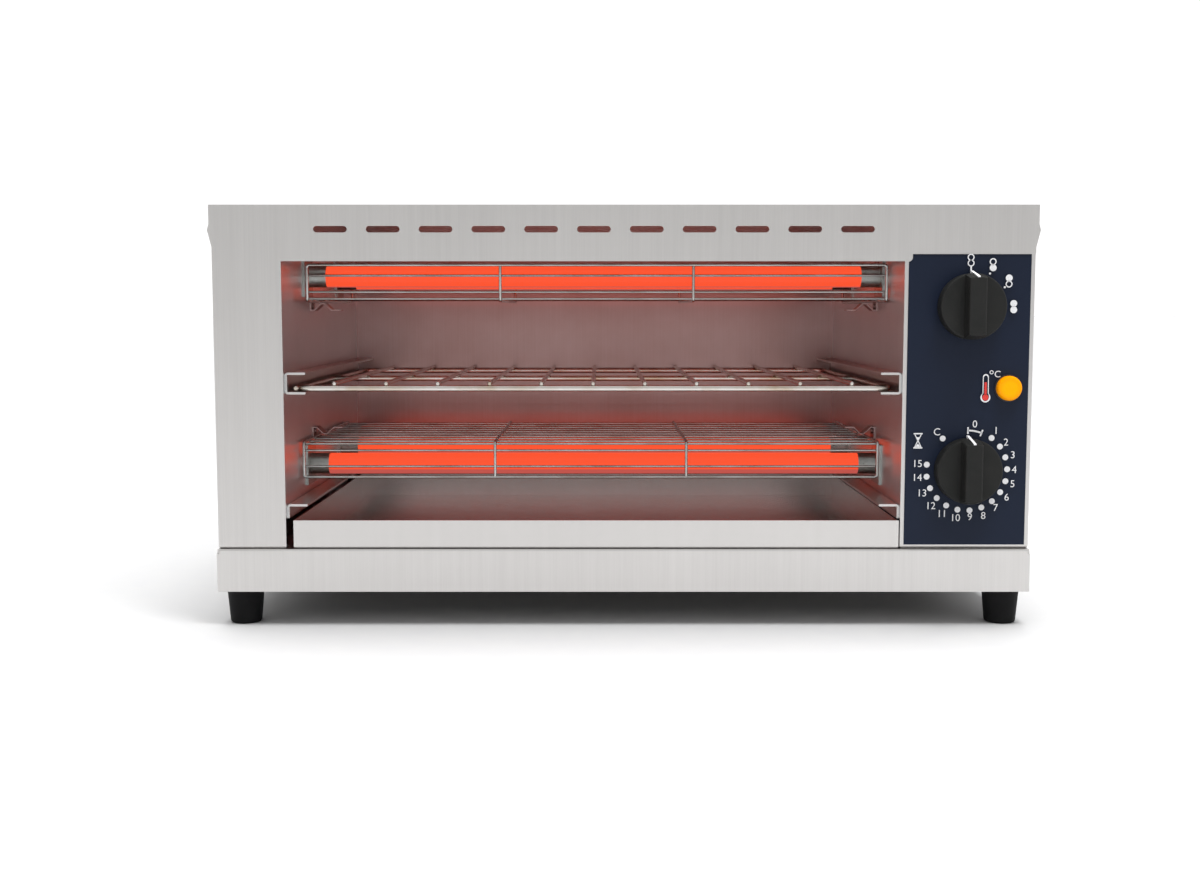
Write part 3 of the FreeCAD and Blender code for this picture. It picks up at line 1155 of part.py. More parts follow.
def make_knob(label, level):
    """Knob: a disc, a full-width tapered grip and a D-shaped bore in its hub."""
    body = new_body(label, "At.knob_x", "0", level)
    sketch = new_sketch(body, "YZ")
    draw_outline(sketch, [
        ("0", "0"),
        ("-Size.knob_length", "0"),
        ("-Size.knob_length", "Size.knob_diameter / 2 - Size.grip_slope"),
        ("-Size.knob_disc", "Size.knob_diameter / 2"),
        ("0", "Size.knob_diameter / 2"),
    ])
    turned = body.newObject("PartDesign::Revolution", label + "_turned")
    turned.Profile = sketch
    turned.ReferenceAxis = (sketch, ["H_Axis"])
    turned.Angle = 360
    doc.recompute()
    sketch = new_sketch(body, "XY", "-Size.knob_diameter")
    front, back = "-Size.knob_length - Size.knob_edge", "-Size.knob_disc"
    for side in SIDES:
        draw_outline(sketch, [
            (side + "Size.grip_width / 2", back),
            (side + "Size.knob_diameter", back),
            (side + "Size.knob_diameter", front),
            (side + "(Size.grip_width / 2 - Size.grip_draft)", front),
        ])
    cut_sketch(body, sketch, "2 * Size.knob_diameter")
    round_edges(body, edges_at(body, y="-Size.knob_length"), "Size.knob_edge")
    rims = [name for name in edges_at(body, y="-Size.knob_disc")
            if isinstance(body.Tip.Shape.getElement(name).Curve, Part.Circle)]
    round_edges(body, rims, "Size.knob_edge")
    hub = "Size.shaft_diameter + 2 * Size.knob_wall"
    sketch = new_sketch(body, "XZ")
    draw_circle(sketch, "0", "0", "Size.knob_diameter - 2 * Size.knob_wall")
    draw_circle(sketch, "0", "0", hub)
    cut_sketch(body, sketch, "Size.knob_hollow", False)
    sketch = new_sketch(body, "XZ")
    bore_radius = "(Size.shaft_diameter / 2 + Size.shaft_gap)"
    flat = "(Size.shaft_flat + Size.shaft_gap)"
    chord = "sqrt(%s ^ 2 - %s ^ 2)" % (bore_radius, flat)
    draw_stops(sketch, [(chord, flat, V(0, -value(bore_radius), 0), bore_radius), ("-" + chord, flat)])
    cut_sketch(body, sketch, "Size.shaft_in_knob + Size.running_gap", False)


def make_device_screws(label, level):
    """Low-head screws either side of a shaft, hidden by the knob."""
    body = new_body(label, "At.knob_x", "At.panel_front", level)
    places = [(offset, "0") for offset in DEVICE_SCREW_OFFSETS]
    discs(body, "XZ", "-Size.device_head_height", "Size.device_head_height", places, "Size.device_screw_head")
    discs(body, "XZ", "0", "Size.device_screw_length", places, "Size.device_screw_diameter")


def make_pilot_lamp():
    """Pilot lamp: ring, amber lens, body with terminals and nut."""
    ring = new_body("pilot_bezel", "At.pilot_x", "At.overlay_front", "At.pilot")
    sketch = new_sketch(ring, "XZ")
    draw_circle(sketch, "0", "0", "Size.bezel_diameter")
    draw_circle(sketch, "0", "0", "Size.lens_stem + 2 * Size.shaft_gap")
    raise_sketch(ring, sketch, "Size.bezel_height", False)
    lens = new_body("pilot_lens", "At.pilot_x", "At.overlay_front", "At.pilot")
    sketch = new_sketch(lens, "XZ", "-Size.bezel_height")
    draw_circle(sketch, "0", "0", "Size.lens_diameter")
    raise_sketch(lens, sketch, "Size.lens_height", False)
    round_edges(lens, edges_at(lens, y="-Size.bezel_height - Size.lens_height"), "Size.lens_edge")
    discs(lens, "XZ", "-Size.bezel_height", "Size.bezel_height + Size.overlay_sheet", [("0", "0")],
          "Size.lens_stem")
    lamp = new_body("pilot_body", "At.pilot_x", "At.panel_front", "At.pilot")
    discs(lamp, "XZ", "0", "Size.pilot_length", [("0", "0")], "Size.pilot_diameter")
    sketch = new_sketch(lamp, "XZ", "Size.pilot_length")
    for x in ("-Size.pilot_diameter / 4", "Size.pilot_diameter / 4"):
        draw_rectangle(sketch, x + " - Size.terminal_sheet / 2", "-Size.terminal_width / 2",
                       x + " + Size.terminal_sheet / 2", "Size.terminal_width / 2")
    raise_sketch(lamp, sketch, "Size.terminal_length")
    make_nuts("pilot_nut", "XZ", "At.panel_back", "Size.pilot_nut_height", [("At.pilot_x", "At.pilot")],
              "Size.pilot_nut_width", "Size.pilot_diameter + 2 * Size.shaft_gap")


# Supply side


def make_cable_gland():
    """Gland through the back panel, with its dome nut outside and lock nut inside."""
    body = new_body("cable_gland", "At.gland_x", "At.back_face", "At.gland")
    sketch = new_sketch(body, "XZ")
    draw_hexagon(sketch, "0", "0", "Size.gland_flats")
    raise_sketch(body, sketch, "Size.gland_flange")
    discs(body, "XZ", "-Size.gland_thread_length", "Size.gland_thread_length", [("0", "0")], "Size.gland_thread")
    bore(body, "XZ", "-Size.gland_thread_length", "Size.gland_thread_length + Size.gland_flange",
         [("0", "0")], "Size.gland_bore")
    dome = new_body("gland_dome_nut", "At.gland_x", "At.back_face", "At.gland")
    discs(dome, "XZ", "Size.gland_flange", "Size.gland_stand_out - Size.gland_flange", [("0", "0")],
          "Size.gland_cap_diameter")
    round_edges(dome, edges_at(dome, y="Size.gland_stand_out"), "Size.gland_dome")
    bore(dome, "XZ", "Size.gland_flange", "Size.gland_stand_out - Size.gland_flange", [("0", "0")],
         "Size.gland_bore")
    make_nuts("gland_lock_nut", "XZ", "At.panel_rear - Size.gland_nut_height", "Size.gland_nut_height",
              [("At.gland_x", "At.gland")], "Size.gland_flats", "Size.gland_thread + 2 * Size.shaft_gap")


def make_terminal_block():
    """Terminal block on the deck, with a screw well over each terminal."""
    body = new_body("terminal_block", "At.knob_x", "Size.block_setback", "At.deck")
    half, deep = "Size.block_width / 2", "Size.block_depth / 2"
    slab(body, "XY", "0", "Size.block_height", ("-" + deep, "-" + half, deep, half))
    sketch = new_sketch(body, "XY", "Size.block_height / 2")
    draw_circle(sketch, "0", "-Size.block_pitch * %d" % (BLOCK_PORT_COUNT // 2), "Size.block_port")
    well = cut_sketch(body, sketch, "Size.block_height / 2")
    repeat(body, well, "Y", "Size.block_pitch", BLOCK_PORT_COUNT)


def make_terminal_screws():
    """Clamping screws at the bottom of the wells."""
    body = new_body("terminal_block_screws", "At.knob_x", "Size.block_setback", "At.deck")
    sketch = new_sketch(body, "XY", "Size.block_height / 2")
    first = "-Size.block_pitch * %d" % (BLOCK_PORT_COUNT // 2)
    draw_circle(sketch, "0", first, "Size.block_port - Size.running_gap")
    screw = raise_sketch(body, sketch, "Size.block_height / 4")
    repeat(body, screw, "Y", "Size.block_pitch", BLOCK_PORT_COUNT)


def make_earth_stud():
    """Earth stud through the deck, with a head below and a nut above."""
    place = [("At.earth", "Size.earth_setback")]
    body = new_body("earth_stud")
    discs(body, "XY", "At.deck - Size.sheet - Size.screw_head_height", "Size.screw_head_height", place,
          "Size.screw_head_diameter")
    discs(body, "XY", "At.deck - Size.sheet", "Size.sheet + Size.earth_stud_length", place,
          "Size.earth_stud_diameter")
    make_nuts("earth_nut", "XY", "At.deck", "Size.earth_nut_height", place,
              "Size.earth_nut_width", "Size.earth_stud_diameter + 2 * Size.shaft_gap")


# Assembly


def make_shell():
    make_top_cover()
    make_front_fascia()
    make_side_panel("left_side_panel", "-", "Size.sheet")
    make_side_panel("right_side_panel", "", "At.panel_back")
    make_back_panel()
    make_base_pan()
    for side, x in (("left", "-At.foot_x"), ("right", "At.foot_x")):
        for end, y in (("front", "At.foot_front"), ("rear", "At.foot_rear")):
            make_foot("%s_%s_foot" % (end, side), x, y)
    make_foot_screws()
    make_nuts("foot_nuts", "XY", "Size.foot_height + Size.sheet", "Size.foot_nut_height", FOOT_PLACES,
              "Size.foot_nut_width", "Size.foot_screw_diameter + 2 * Size.shaft_gap")
    make_screws("cover_screws", "XZ", "Size.body_depth", False, COVER_SCREW_PLACES)
    make_screws("back_panel_screws", "XZ", "At.back_face", False, BACK_SCREW_PLACES)
    make_screws("base_screws", "XY", "At.deck - Size.sheet", True, BASE_SCREW_PLACES)


def make_chamber():
    make_side_wall("chamber_left_wall", "-", "At.opening_left", "Size.sheet")
    make_side_wall("chamber_right_wall", "", "At.opening_right", "At.panel_back")
    make_back_wall()
    for name, side, face in (("left", "-", "At.opening_left"), ("right", "", "At.opening_right")):
        make_grid_rail(name + "_grid_rail", side, face)
        make_tray_rail(name + "_tray_rail", side, face)
    make_toasting_grid()
    make_crumb_tray()


def make_heating():
    for name, level in (("upper", "At.upper_tube"), ("lower", "At.lower_tube")):
        make_tube(name + "_front_tube", "Size.tube_setback", level)
        make_tube(name + "_rear_tube", "At.rear_tube", level)
        make_tube_caps(name + "_tube_caps", level)
    make_heating_coils()
    make_tube_terminals()
    make_terminal_nuts()
    make_tube_end_plates()
    make_guard("upper_guard", "Size.upper_guard_shift", "At.upper_guard", "")
    make_guard("lower_guard", "Size.lower_guard_shift", "At.lower_guard", "-")
    make_guard_clips()
    make_clip_rivets()


def make_controls():
    make_control_panel()
    make_control_overlay()
    for name, level, drum in (("timer", "At.timer", True), ("selector", "At.selector", False)):
        make_device(name + "_body", level, drum)
        make_shaft(name + "_shaft", level)
        make_knob(name + "_knob", level)
        make_device_screws(name + "_screws", level)
    make_pilot_lamp()


def make_supply():
    make_cable_gland()
    make_terminal_block()
    make_terminal_screws()
    make_earth_stud()


def write_parts():
    """Check every object, then write each piece to its own file."""
    doc.recompute()
    failed = [item.Label for item in doc.Objects if "Invalid" in item.State or "Error" in item.State]
    if failed:
        raise RuntimeError("failed objects: " + ", ".join(failed))
    shapes = [(piece.Label, piece.Shape) for piece in PIECES]
    bad = [label for label, shape in shapes if shape.isNull() or not shape.isValid() or not shape.Solids]
    if bad:
        raise RuntimeError("bad shapes: " + ", ".join(bad))
    os.makedirs("parts", exist_ok=True)
    for piece in PIECES:
        piece.Shape.exportStep("parts/%s.step" % piece.Label)
        box = piece.Shape.BoundBox
        print("%-24s %2d solids %9.1f mm3  x %.1f %.1f  y %.1f %.1f  z %.1f %.1f" % (
            piece.Label, len(piece.Shape.Solids), piece.Shape.Volume,
            box.XMin, box.XMax, box.YMin, box.YMax, box.ZMin, box.ZMax))
    print("pieces", len(PIECES))


make_shell()
make_chamber()
make_heating()
make_controls()
make_supply()
write_parts()
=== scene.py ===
"""An open-fronted countertop toaster, dressed on its CAD frame and lit as in a studio.

Lengths are in metres, in the frame of the CAD model: X runs to the right of the front,
Y to the rear and Z up. The front plate stands at FRONT.
"""

import json
import logging
import math
from dataclasses import dataclass
from enum import Enum

import bmesh
import bpy
from mathutils import Matrix, Vector

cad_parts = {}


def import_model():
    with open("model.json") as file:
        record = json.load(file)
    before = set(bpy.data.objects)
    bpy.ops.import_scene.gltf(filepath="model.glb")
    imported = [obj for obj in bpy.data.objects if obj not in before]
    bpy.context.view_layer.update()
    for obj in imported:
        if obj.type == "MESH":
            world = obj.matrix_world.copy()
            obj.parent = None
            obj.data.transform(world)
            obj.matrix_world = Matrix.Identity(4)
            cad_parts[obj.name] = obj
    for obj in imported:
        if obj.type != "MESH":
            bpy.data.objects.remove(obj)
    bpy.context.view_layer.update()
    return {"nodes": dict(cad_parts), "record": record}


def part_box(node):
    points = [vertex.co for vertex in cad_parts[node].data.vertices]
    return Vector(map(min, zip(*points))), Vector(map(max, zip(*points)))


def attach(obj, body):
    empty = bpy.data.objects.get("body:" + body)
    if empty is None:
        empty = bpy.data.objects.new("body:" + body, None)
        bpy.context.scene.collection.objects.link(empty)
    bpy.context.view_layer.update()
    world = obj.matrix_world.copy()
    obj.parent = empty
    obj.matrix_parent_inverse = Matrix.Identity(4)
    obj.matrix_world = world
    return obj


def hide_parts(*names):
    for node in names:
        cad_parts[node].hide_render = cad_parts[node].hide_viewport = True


MM = 0.001
FRONT = -152.5 * MM
Colour = tuple[float, float, float, float]
Point = tuple[float, float, float]
Spot = tuple[float, float]
Mesh = bpy.types.Mesh
log = logging.getLogger("toaster")


def rgb(red: float, green: float, blue: float) -> Colour:
    """Returns the linear colour of a red, green and blue given from 0 to 255 in sRGB."""
    def linear(value: float) -> float:
        share = value / 255
        return share / 12.92 if share <= 0.04045 else ((share + 0.055) / 1.055) ** 2.4

    return (linear(red), linear(green), linear(blue), 1.0)


class Body(Enum):
    """The bodies that pieces ride on."""

    HOUSING = "body"
    GRID = "grid"
    TRAY = "tray"
    SELECTOR = "selector"
    TIMER = "timer"


class Grain(Enum):
    """The way the brushing runs: stretch of the pattern along X, Y and Z."""

    UPRIGHT = (1.0, 1.0, 0.012)
    ACROSS = (0.012, 1.0, 1.0)


# Node trees


class Tree:
    """A node tree that is laid node by node."""

    tree: bpy.types.NodeTree

    def node(self, kind: str, settings: dict | None = None, sockets: dict | None = None,
             output: int | str = 0) -> "Signal":
        """Adds a node.

        Args:
            kind: The node's type.
            settings: Properties, set first; "stops" gives a colour ramp's (place, colour) pairs.
            sockets: Values or signals for the inputs, by name or number.
            output: The output that is returned.

        Returns:
            That output, ready for other nodes and for expressions.
        """
        made = self.tree.nodes.new(kind)
        for name, value in (settings or {}).items():
            if name == "stops":
                ramp = made.color_ramp.elements
                while len(ramp) < len(value):
                    ramp.new(1.0)
                for stop, (place, colour) in zip(ramp, value):
                    stop.position, stop.color = place, colour
            else:
                setattr(made, name, value)
        for name, value in (sockets or {}).items():
            if isinstance(value, Signal):
                self.tree.links.new(value.socket, made.inputs[name])
            else:
                made.inputs[name].default_value = value
        return Signal(self, made.outputs[output] if made.outputs else None)


class Signal:
    """An output of a node; those of shader nodes take part in Python expressions."""

    def __init__(self, tree: Tree, socket: bpy.types.NodeSocket | None) -> None:
        """Holds the socket and the tree that it belongs to."""
        self.tree = tree
        self.socket = socket

    def _maths(self, operation: str, other: "Value") -> "Signal":
        """Returns self and other joined by a Math node."""
        return self.tree.node("ShaderNodeMath", {"operation": operation}, {0: self, 1: other})

    def __add__(self, other: "Value") -> "Signal":
        """Returns self + other."""
        return self._maths("ADD", other)

    def __sub__(self, other: "Value") -> "Signal":
        """Returns self - other."""
        return self._maths("SUBTRACT", other)

    def __mul__(self, other: "Value") -> "Signal":
        """Returns self * other."""
        return self._maths("MULTIPLY", other)

    def __truediv__(self, other: "Value") -> "Signal":
        """Returns self / other."""
        return self._maths("DIVIDE", other)

    def sine(self) -> "Signal":
        """Returns the sine of self."""
        return self.tree.node("ShaderNodeMath", {"operation": "SINE"}, {0: self})


Value = float | Signal


class Graph(Tree):
    """The node tree of one finish, or of the surround."""

    def __init__(self, owner: bpy.types.Material | bpy.types.World) -> None:
        """Empties the tree of a material or a world."""
        owner.use_nodes = True
        self.tree = owner.node_tree
        self.tree.nodes.clear()

    def place(self, scale: Point = (1, 1, 1), offset: Point = (0, 0, 0)) -> Signal:
        """Returns object coordinates, stretched and moved."""
        where = self.node("ShaderNodeTexCoord", output="Object")
        return self.node("ShaderNodeMapping", {}, {
            "Vector": where, "Scale": scale, "Location": offset})

    def axis(self, letter: str) -> Signal:
        """Returns the object coordinate along X, Y or Z."""
        where = self.node("ShaderNodeTexCoord", output="Object")
        return self.node("ShaderNodeSeparateXYZ", {}, {0: where}, "XYZ".index(letter))

    def noise(self, scale: float, detail: float = 2.0, where: Signal | None = None,
              rough: float = 0.5) -> Signal:
        """Returns a noise from 0 to 1; scale is in cells to the metre of where."""
        return self.node("ShaderNodeTexNoise", {}, {
            "Vector": where or self.place(), "Scale": scale, "Detail": detail,
            "Roughness": rough}, "Fac")

    def ramp(self, factor: Signal, *stops: tuple[float, Colour]) -> Signal:
        """Returns the colour of a ramp at factor."""
        return self.node("ShaderNodeValToRGB", {"stops": stops}, {0: factor})

    def mix(self, factor: Value, first: Colour | Signal, second: Colour | Signal) -> Signal:
        """Returns the mix of two colours."""
        return self.node("ShaderNodeMix", {"data_type": "RGBA"}, {
            0: factor, 6: first, 7: second}, 2)

    def bump(self, height: Signal, depth: float) -> Signal:
        """Returns a normal shaped by height; depth is in metres."""
        return self.node("ShaderNodeBump", {}, {
            "Height": height, "Distance": depth})

    def surface(self, **sockets: Value | Colour) -> None:
        """Ends the tree in one surface shader; underscores in names stand for spaces."""
        shader = self.node("ShaderNodeBsdfPrincipled", {}, {
            name.replace("_", " "): value for name, value in sockets.items()})
        self.node("ShaderNodeOutputMaterial", {}, {"Surface": shader})


# Finishes


@dataclass(frozen=True)
class Finish:
    """A finish: its name and how its nodes are laid.

    In every finish, a scale is that of a noise, in cells to the metre.
    """

    name: str

    def lay(self, graph: Graph) -> None:
        """Lays the nodes of this finish."""
        raise NotImplementedError

    def material(self) -> bpy.types.Material:
        """Returns the material, made at its first use."""
        known = bpy.data.materials.get(self.name)
        if not known:
            known = bpy.data.materials.new(self.name)
            self.lay(Graph(known))
        return known


@dataclass(frozen=True)
class BrushedSteel(Finish):
    """Stainless sheet with a fine brushed grain and faint handling marks."""

    grain: Grain = Grain.UPRIGHT
    dark: Colour = rgb(201, 199, 197)
    light: Colour = rgb(212, 210, 208)
    roughness: float = 0.36
    groove: float = 0.004 * MM
    fine_scale: float = 1400
    broad_scale: float = 210
    tone_scale: float = 9
    smear_scale: float = 34

    def lay(self, graph: Graph) -> None:
        """Layers fine and broad streaks over a slow change of tone."""
        fine = graph.noise(self.fine_scale, 3.0, graph.place(self.grain.value), 0.7)
        aside = graph.place(self.grain.value, (3.1, 1.7, 5.3))
        broad = graph.noise(self.broad_scale, 2.0, aside)
        tone = graph.noise(self.tone_scale)
        shade = fine * 0.45 + broad * 0.3 + tone * 0.25
        smear = graph.noise(self.smear_scale, 4.0, graph.place((1, 1, 0.4)), 0.65)
        graph.surface(
            Base_Color=graph.ramp(shade, (0.3, self.dark), (0.7, self.light)),
            Metallic=1.0,
            Roughness=fine * 0.08 + smear * 0.06 + (self.roughness - 0.07),
            Normal=graph.bump(fine * 0.7 + broad * 0.3, self.groove))


@dataclass(frozen=True)
class ChamberSheet(Finish):
    """Thin stainless lining, toned by heat and a little clouded."""

    clean: Colour = rgb(170, 142, 139)
    tanned: Colour = rgb(157, 126, 122)
    roughness: float = 0.3
    ripple: float = 0.003 * MM
    cloud_scale: float = 11
    rolled_scale: float = 900
    speck_scale: float = 420

    def lay(self, graph: Graph) -> None:
        """Lays clouds of heat tint and a fine rolled grain."""
        cloud = graph.noise(self.cloud_scale, 4.0, None, 0.6)
        rolled = graph.noise(self.rolled_scale, 2.0, graph.place(Grain.UPRIGHT.value))
        speck = graph.noise(self.speck_scale, 1.0)
        shade = cloud * 0.8 + rolled * 0.2
        graph.surface(
            Base_Color=graph.ramp(shade, (0.35, self.tanned), (0.65, self.clean)),
            Metallic=1.0,
            Roughness=cloud * 0.08 + rolled * 0.05 + (self.roughness - 0.06),
            Normal=graph.bump(rolled * 0.6 + speck * 0.4, self.ripple))


@dataclass(frozen=True)
class PlatedWire(Finish):
    """Nickel-plated wire, bright with a trace of straw from the heat."""

    bright: Colour = rgb(214, 210, 205)
    straw: Colour = rgb(186, 168, 146)
    roughness: float = 0.2
    scratch: float = 0.015 * MM
    tint_scale: float = 38
    mark_scale: float = 1500

    def lay(self, graph: Graph) -> None:
        """Lays slow tints along the wire and fine drawing marks."""
        tint = graph.noise(self.tint_scale, 3.0)
        marks = graph.noise(self.mark_scale)
        graph.surface(
            Base_Color=graph.ramp(tint, (0.42, self.bright), (0.72, self.straw)),
            Metallic=1.0,
            Roughness=marks * 0.12 + tint * 0.08 + (self.roughness - 0.1),
            Normal=graph.bump(marks, self.scratch))


@dataclass(frozen=True)
class PlainMetal(Finish):
    """Turned, pressed or zinc-plated metal."""

    dark: Colour
    light: Colour
    roughness: float
    mark_scale: float = 700.0
    scratch: float = 0.02 * MM
    patch_scale: float = 120

    def lay(self, graph: Graph) -> None:
        """Lays patches of tone and fine machining marks."""
        patch = graph.noise(self.patch_scale, 3.0)
        marks = graph.noise(self.mark_scale, 3.0, None, 0.7)
        shade = patch * 0.6 + marks * 0.4
        graph.surface(
            Base_Color=graph.ramp(shade, (0.35, self.dark), (0.65, self.light)),
            Metallic=1.0,
            Roughness=marks * 0.16 + patch * 0.08 + (self.roughness - 0.12),
            Normal=graph.bump(marks, self.scratch))


@dataclass(frozen=True)
class GlowingQuartz(Finish):
    """Quartz tube with its coil alight; its glow is dimmer over a share of its height from the
    foot.
    """

    level: float = 0.0
    radius: float = 7.25 * MM
    turn: float = 3.4 * MM
    # Share of the height, from the foot, over which the glow is dimmer.
    dim_foot: float = 0.3
    full: Colour = rgb(252, 84, 48)
    dim: Colour = rgb(190, 84, 76)
    glass: Colour = (0.05, 0.012, 0.008, 1)
    haze_scale: float = 60

    def lay(self, graph: Graph) -> None:
        """Shades the glow from the tube's foot to its top and bands it with the coil."""
        height = (graph.axis("Z") - self.level) / (2 * self.radius) + 0.5
        coil = (graph.axis("X") * (2 * math.pi / self.turn)).sine()
        glow = graph.ramp(height, (self.dim_foot * 0.7, self.dim), (self.dim_foot, self.full))
        haze = graph.noise(self.haze_scale)
        graph.surface(
            Base_Color=self.glass,
            Roughness=haze * 0.1 + 0.1,
            Emission_Color=graph.mix(coil * 0.03 + haze * 0.05, glow, self.dim),
            Emission_Strength=1.0,
            Specular_IOR_Level=0.1)


@dataclass(frozen=True)
class HotCoil(Finish):
    """Resistance wire, orange hot."""

    hot: Colour = rgb(255, 150, 60)
    less: Colour = rgb(240, 90, 40)
    wire: Colour = (0.08, 0.03, 0.02, 1)
    power: float = 1.3
    heat_scale: float = 90

    def lay(self, graph: Graph) -> None:
        """Lays uneven heat along the wire."""
        heat = graph.noise(self.heat_scale)
        graph.surface(
            Base_Color=self.wire,
            Roughness=0.6,
            Emission_Color=graph.ramp(heat, (0.3, self.less), (0.7, self.hot)),
            Emission_Strength=self.power)


@dataclass(frozen=True)
class Moulded(Finish):
    """Moulded or vulcanised material with a fine skin."""

    dark: Colour
    light: Colour
    roughness: float
    skin_scale: float = 1500.0
    depth: float = 0.03 * MM
    sheen: float = 0.5
    tone_scale: float = 70

    def lay(self, graph: Graph) -> None:
        """Lays a spark-eroded skin over slow changes of tone."""
        tone = graph.noise(self.tone_scale, 3.0)
        skin = graph.noise(self.skin_scale, 2.0, None, 0.6)
        shade = tone * 0.6 + skin * 0.4
        graph.surface(
            Base_Color=graph.ramp(shade, (0.35, self.dark), (0.65, self.light)),
            Roughness=skin * 0.18 + (self.roughness - 0.09),
            Specular_IOR_Level=self.sheen,
            Normal=graph.bump(skin, self.depth))


@dataclass(frozen=True)
class PrintedFilm(Finish):
    """Deep blue polyester film with a soft sheen, painted paler towards its foot as painted light.
    """

    top: Colour = rgb(16, 25, 43)
    foot: Colour = rgb(21, 30, 48)
    low: float = 53.3 * MM
    high: float = 240.4 * MM
    depth: float = 0.006 * MM
    satin_scale: float = 2600
    cloud_scale: float = 30

    def lay(self, graph: Graph) -> None:
        """Lays the slow change of blue, painted paler towards the foot as painted light, and the
        film's fine satin texture.
        """
        rise = (graph.axis("Z") - self.low) / (self.high - self.low)
        satin = graph.noise(self.satin_scale)
        cloud = graph.noise(self.cloud_scale)
        graph.surface(
            # Painted light: the blue pales from top to foot, with random clouds over it.
            Base_Color=graph.mix(rise * 0.85 + cloud * 0.15, self.foot, self.top),
            Roughness=satin * 0.16 + 0.42,
            Specular_IOR_Level=0.2,
            Normal=graph.bump(satin, self.depth))


@dataclass(frozen=True)
class AmberLens(Finish):
    """Amber lens with the lamp alight behind it."""

    middle: Point = (247.0 * MM, -154.0 * MM, 155.0 * MM)
    bright: Colour = rgb(238, 158, 0)
    edge: Colour = rgb(222, 136, 0)
    radius: float = 9 * MM
    power: float = 0.25
    prisms: float = 5200
    prism_depth: float = 0.015 * MM
    haze_scale: float = 500

    def lay(self, graph: Graph) -> None:
        """Lays a glow that falls off to the rim, with fine moulded rings of prisms."""
        where = graph.place(offset=tuple(-part for part in self.middle))
        away = graph.node("ShaderNodeVectorMath", {"operation": "LENGTH"}, {0: where}, "Value")
        rings = (away * self.prisms).sine()
        glow = graph.ramp(away / self.radius, (0.55, self.bright), (0.95, self.edge))
        graph.surface(
            Base_Color=glow,
            Roughness=graph.noise(self.haze_scale, 1.0) * 0.1 + 0.18,
            Emission_Color=glow,
            Emission_Strength=self.power,
            Specular_IOR_Level=0.08,
            Normal=graph.bump(rings, self.prism_depth))


@dataclass(frozen=True)
class Ink(Finish):
    """Screen-printed ink, with a faint glow painted in as painted light, though the ink is no lamp.
    """

    colour: Colour = rgb(224, 224, 226)
    thin: Colour = rgb(198, 200, 204)
    # light: strength of the glow painted into the ink.
    light: float = 0.02
    depth: float = 0.01 * MM
    screen_scale: float = 1900

    def lay(self, graph: Graph) -> None:
        """Lays thinner and thicker ink with the mesh of the screen, and a faint painted glow."""
        cover = graph.noise(self.screen_scale)
        graph.surface(
            Base_Color=graph.ramp(cover, (0.3, self.thin), (0.5, self.colour)),
            Roughness=cover * 0.2 + 0.4,
            # Painted light: the ink glows faintly in its own colour.
            Emission_Color=self.colour,
            Emission_Strength=self.light,
            Normal=graph.bump(cover, self.depth))


@dataclass(frozen=True)
class StudioFloor(Finish):
    """Pale matt sweep."""

    pale: Colour = rgb(180, 180, 180)
    shade: Colour = rgb(178, 178, 179)
    paper_scale: float = 60

    def lay(self, graph: Graph) -> None:
        """Lays a barely seen paper texture."""
        paper = graph.noise(self.paper_scale, 3.0)
        graph.surface(
            Base_Color=graph.ramp(paper, (0.3, self.shade), (0.7, self.pale)),
            Roughness=paper * 0.1 + 0.6,
            Specular_IOR_Level=0.05)


STEEL = BrushedSteel("brushed_steel")
STEEL_TOP = BrushedSteel("brushed_steel_lid", Grain.ACROSS)
# The base pan's steel is the brushed steel painted lighter: a painted reflection of the bright
# floor below it.
STEEL_LOW_PAINTED_LIGHTER = BrushedSteel("brushed_steel_base", dark=rgb(205, 203, 201), light=rgb(215, 213, 211))
TRAY_STEEL = BrushedSteel("brushed_steel_tray", Grain.UPRIGHT, rgb(196, 194, 192),
                          rgb(204, 202, 200), 0.22, 0.0015 * MM)
CHAMBER = ChamberSheet("chamber_sheet")
CHEEK = ChamberSheet("chamber_cheek", rgb(222, 226, 228), rgb(210, 214, 216), 0.36)
WIRE = PlatedWire("plated_wire")
GUARD_WIRE = PlatedWire("guard_wire", rgb(190, 190, 188), rgb(160, 154, 148), 0.24)
CAP = PlainMetal("pressed_cap", rgb(164, 165, 161), rgb(186, 187, 183), 0.3, 500, 0.006 * MM)
ZINC = PlainMetal("zinc_plate", rgb(150, 152, 156), rgb(198, 200, 203), 0.33)
BRASS = PlainMetal("nickelled_brass", rgb(168, 162, 148), rgb(206, 200, 186), 0.25, 900)
RUBBER = Moulded("foot_rubber_skin", rgb(10, 10, 11), rgb(20, 20, 21), 0.65, 900, 0.04 * MM, 0.15)
KNOB = Moulded("knob_plastic", rgb(26, 27, 26), rgb(34, 34, 33), 0.55, 2200, 0.01 * MM, 0.22)
DEVICE = Moulded("device_plastic", rgb(24, 25, 27), rgb(38, 39, 42), 0.5)
PORCELAIN = Moulded("terminal_porcelain", rgb(205, 198, 184), rgb(232, 227, 216), 0.35, 300,
                    0.02 * MM)
FILM = PrintedFilm("blue_film")
LENS = AmberLens("amber_lens")
HOT = HotCoil("hot_coil")
WHITE_INK = Ink("white_ink")
RED_INK = Ink("red_ink", rgb(214, 52, 44), rgb(180, 44, 40))

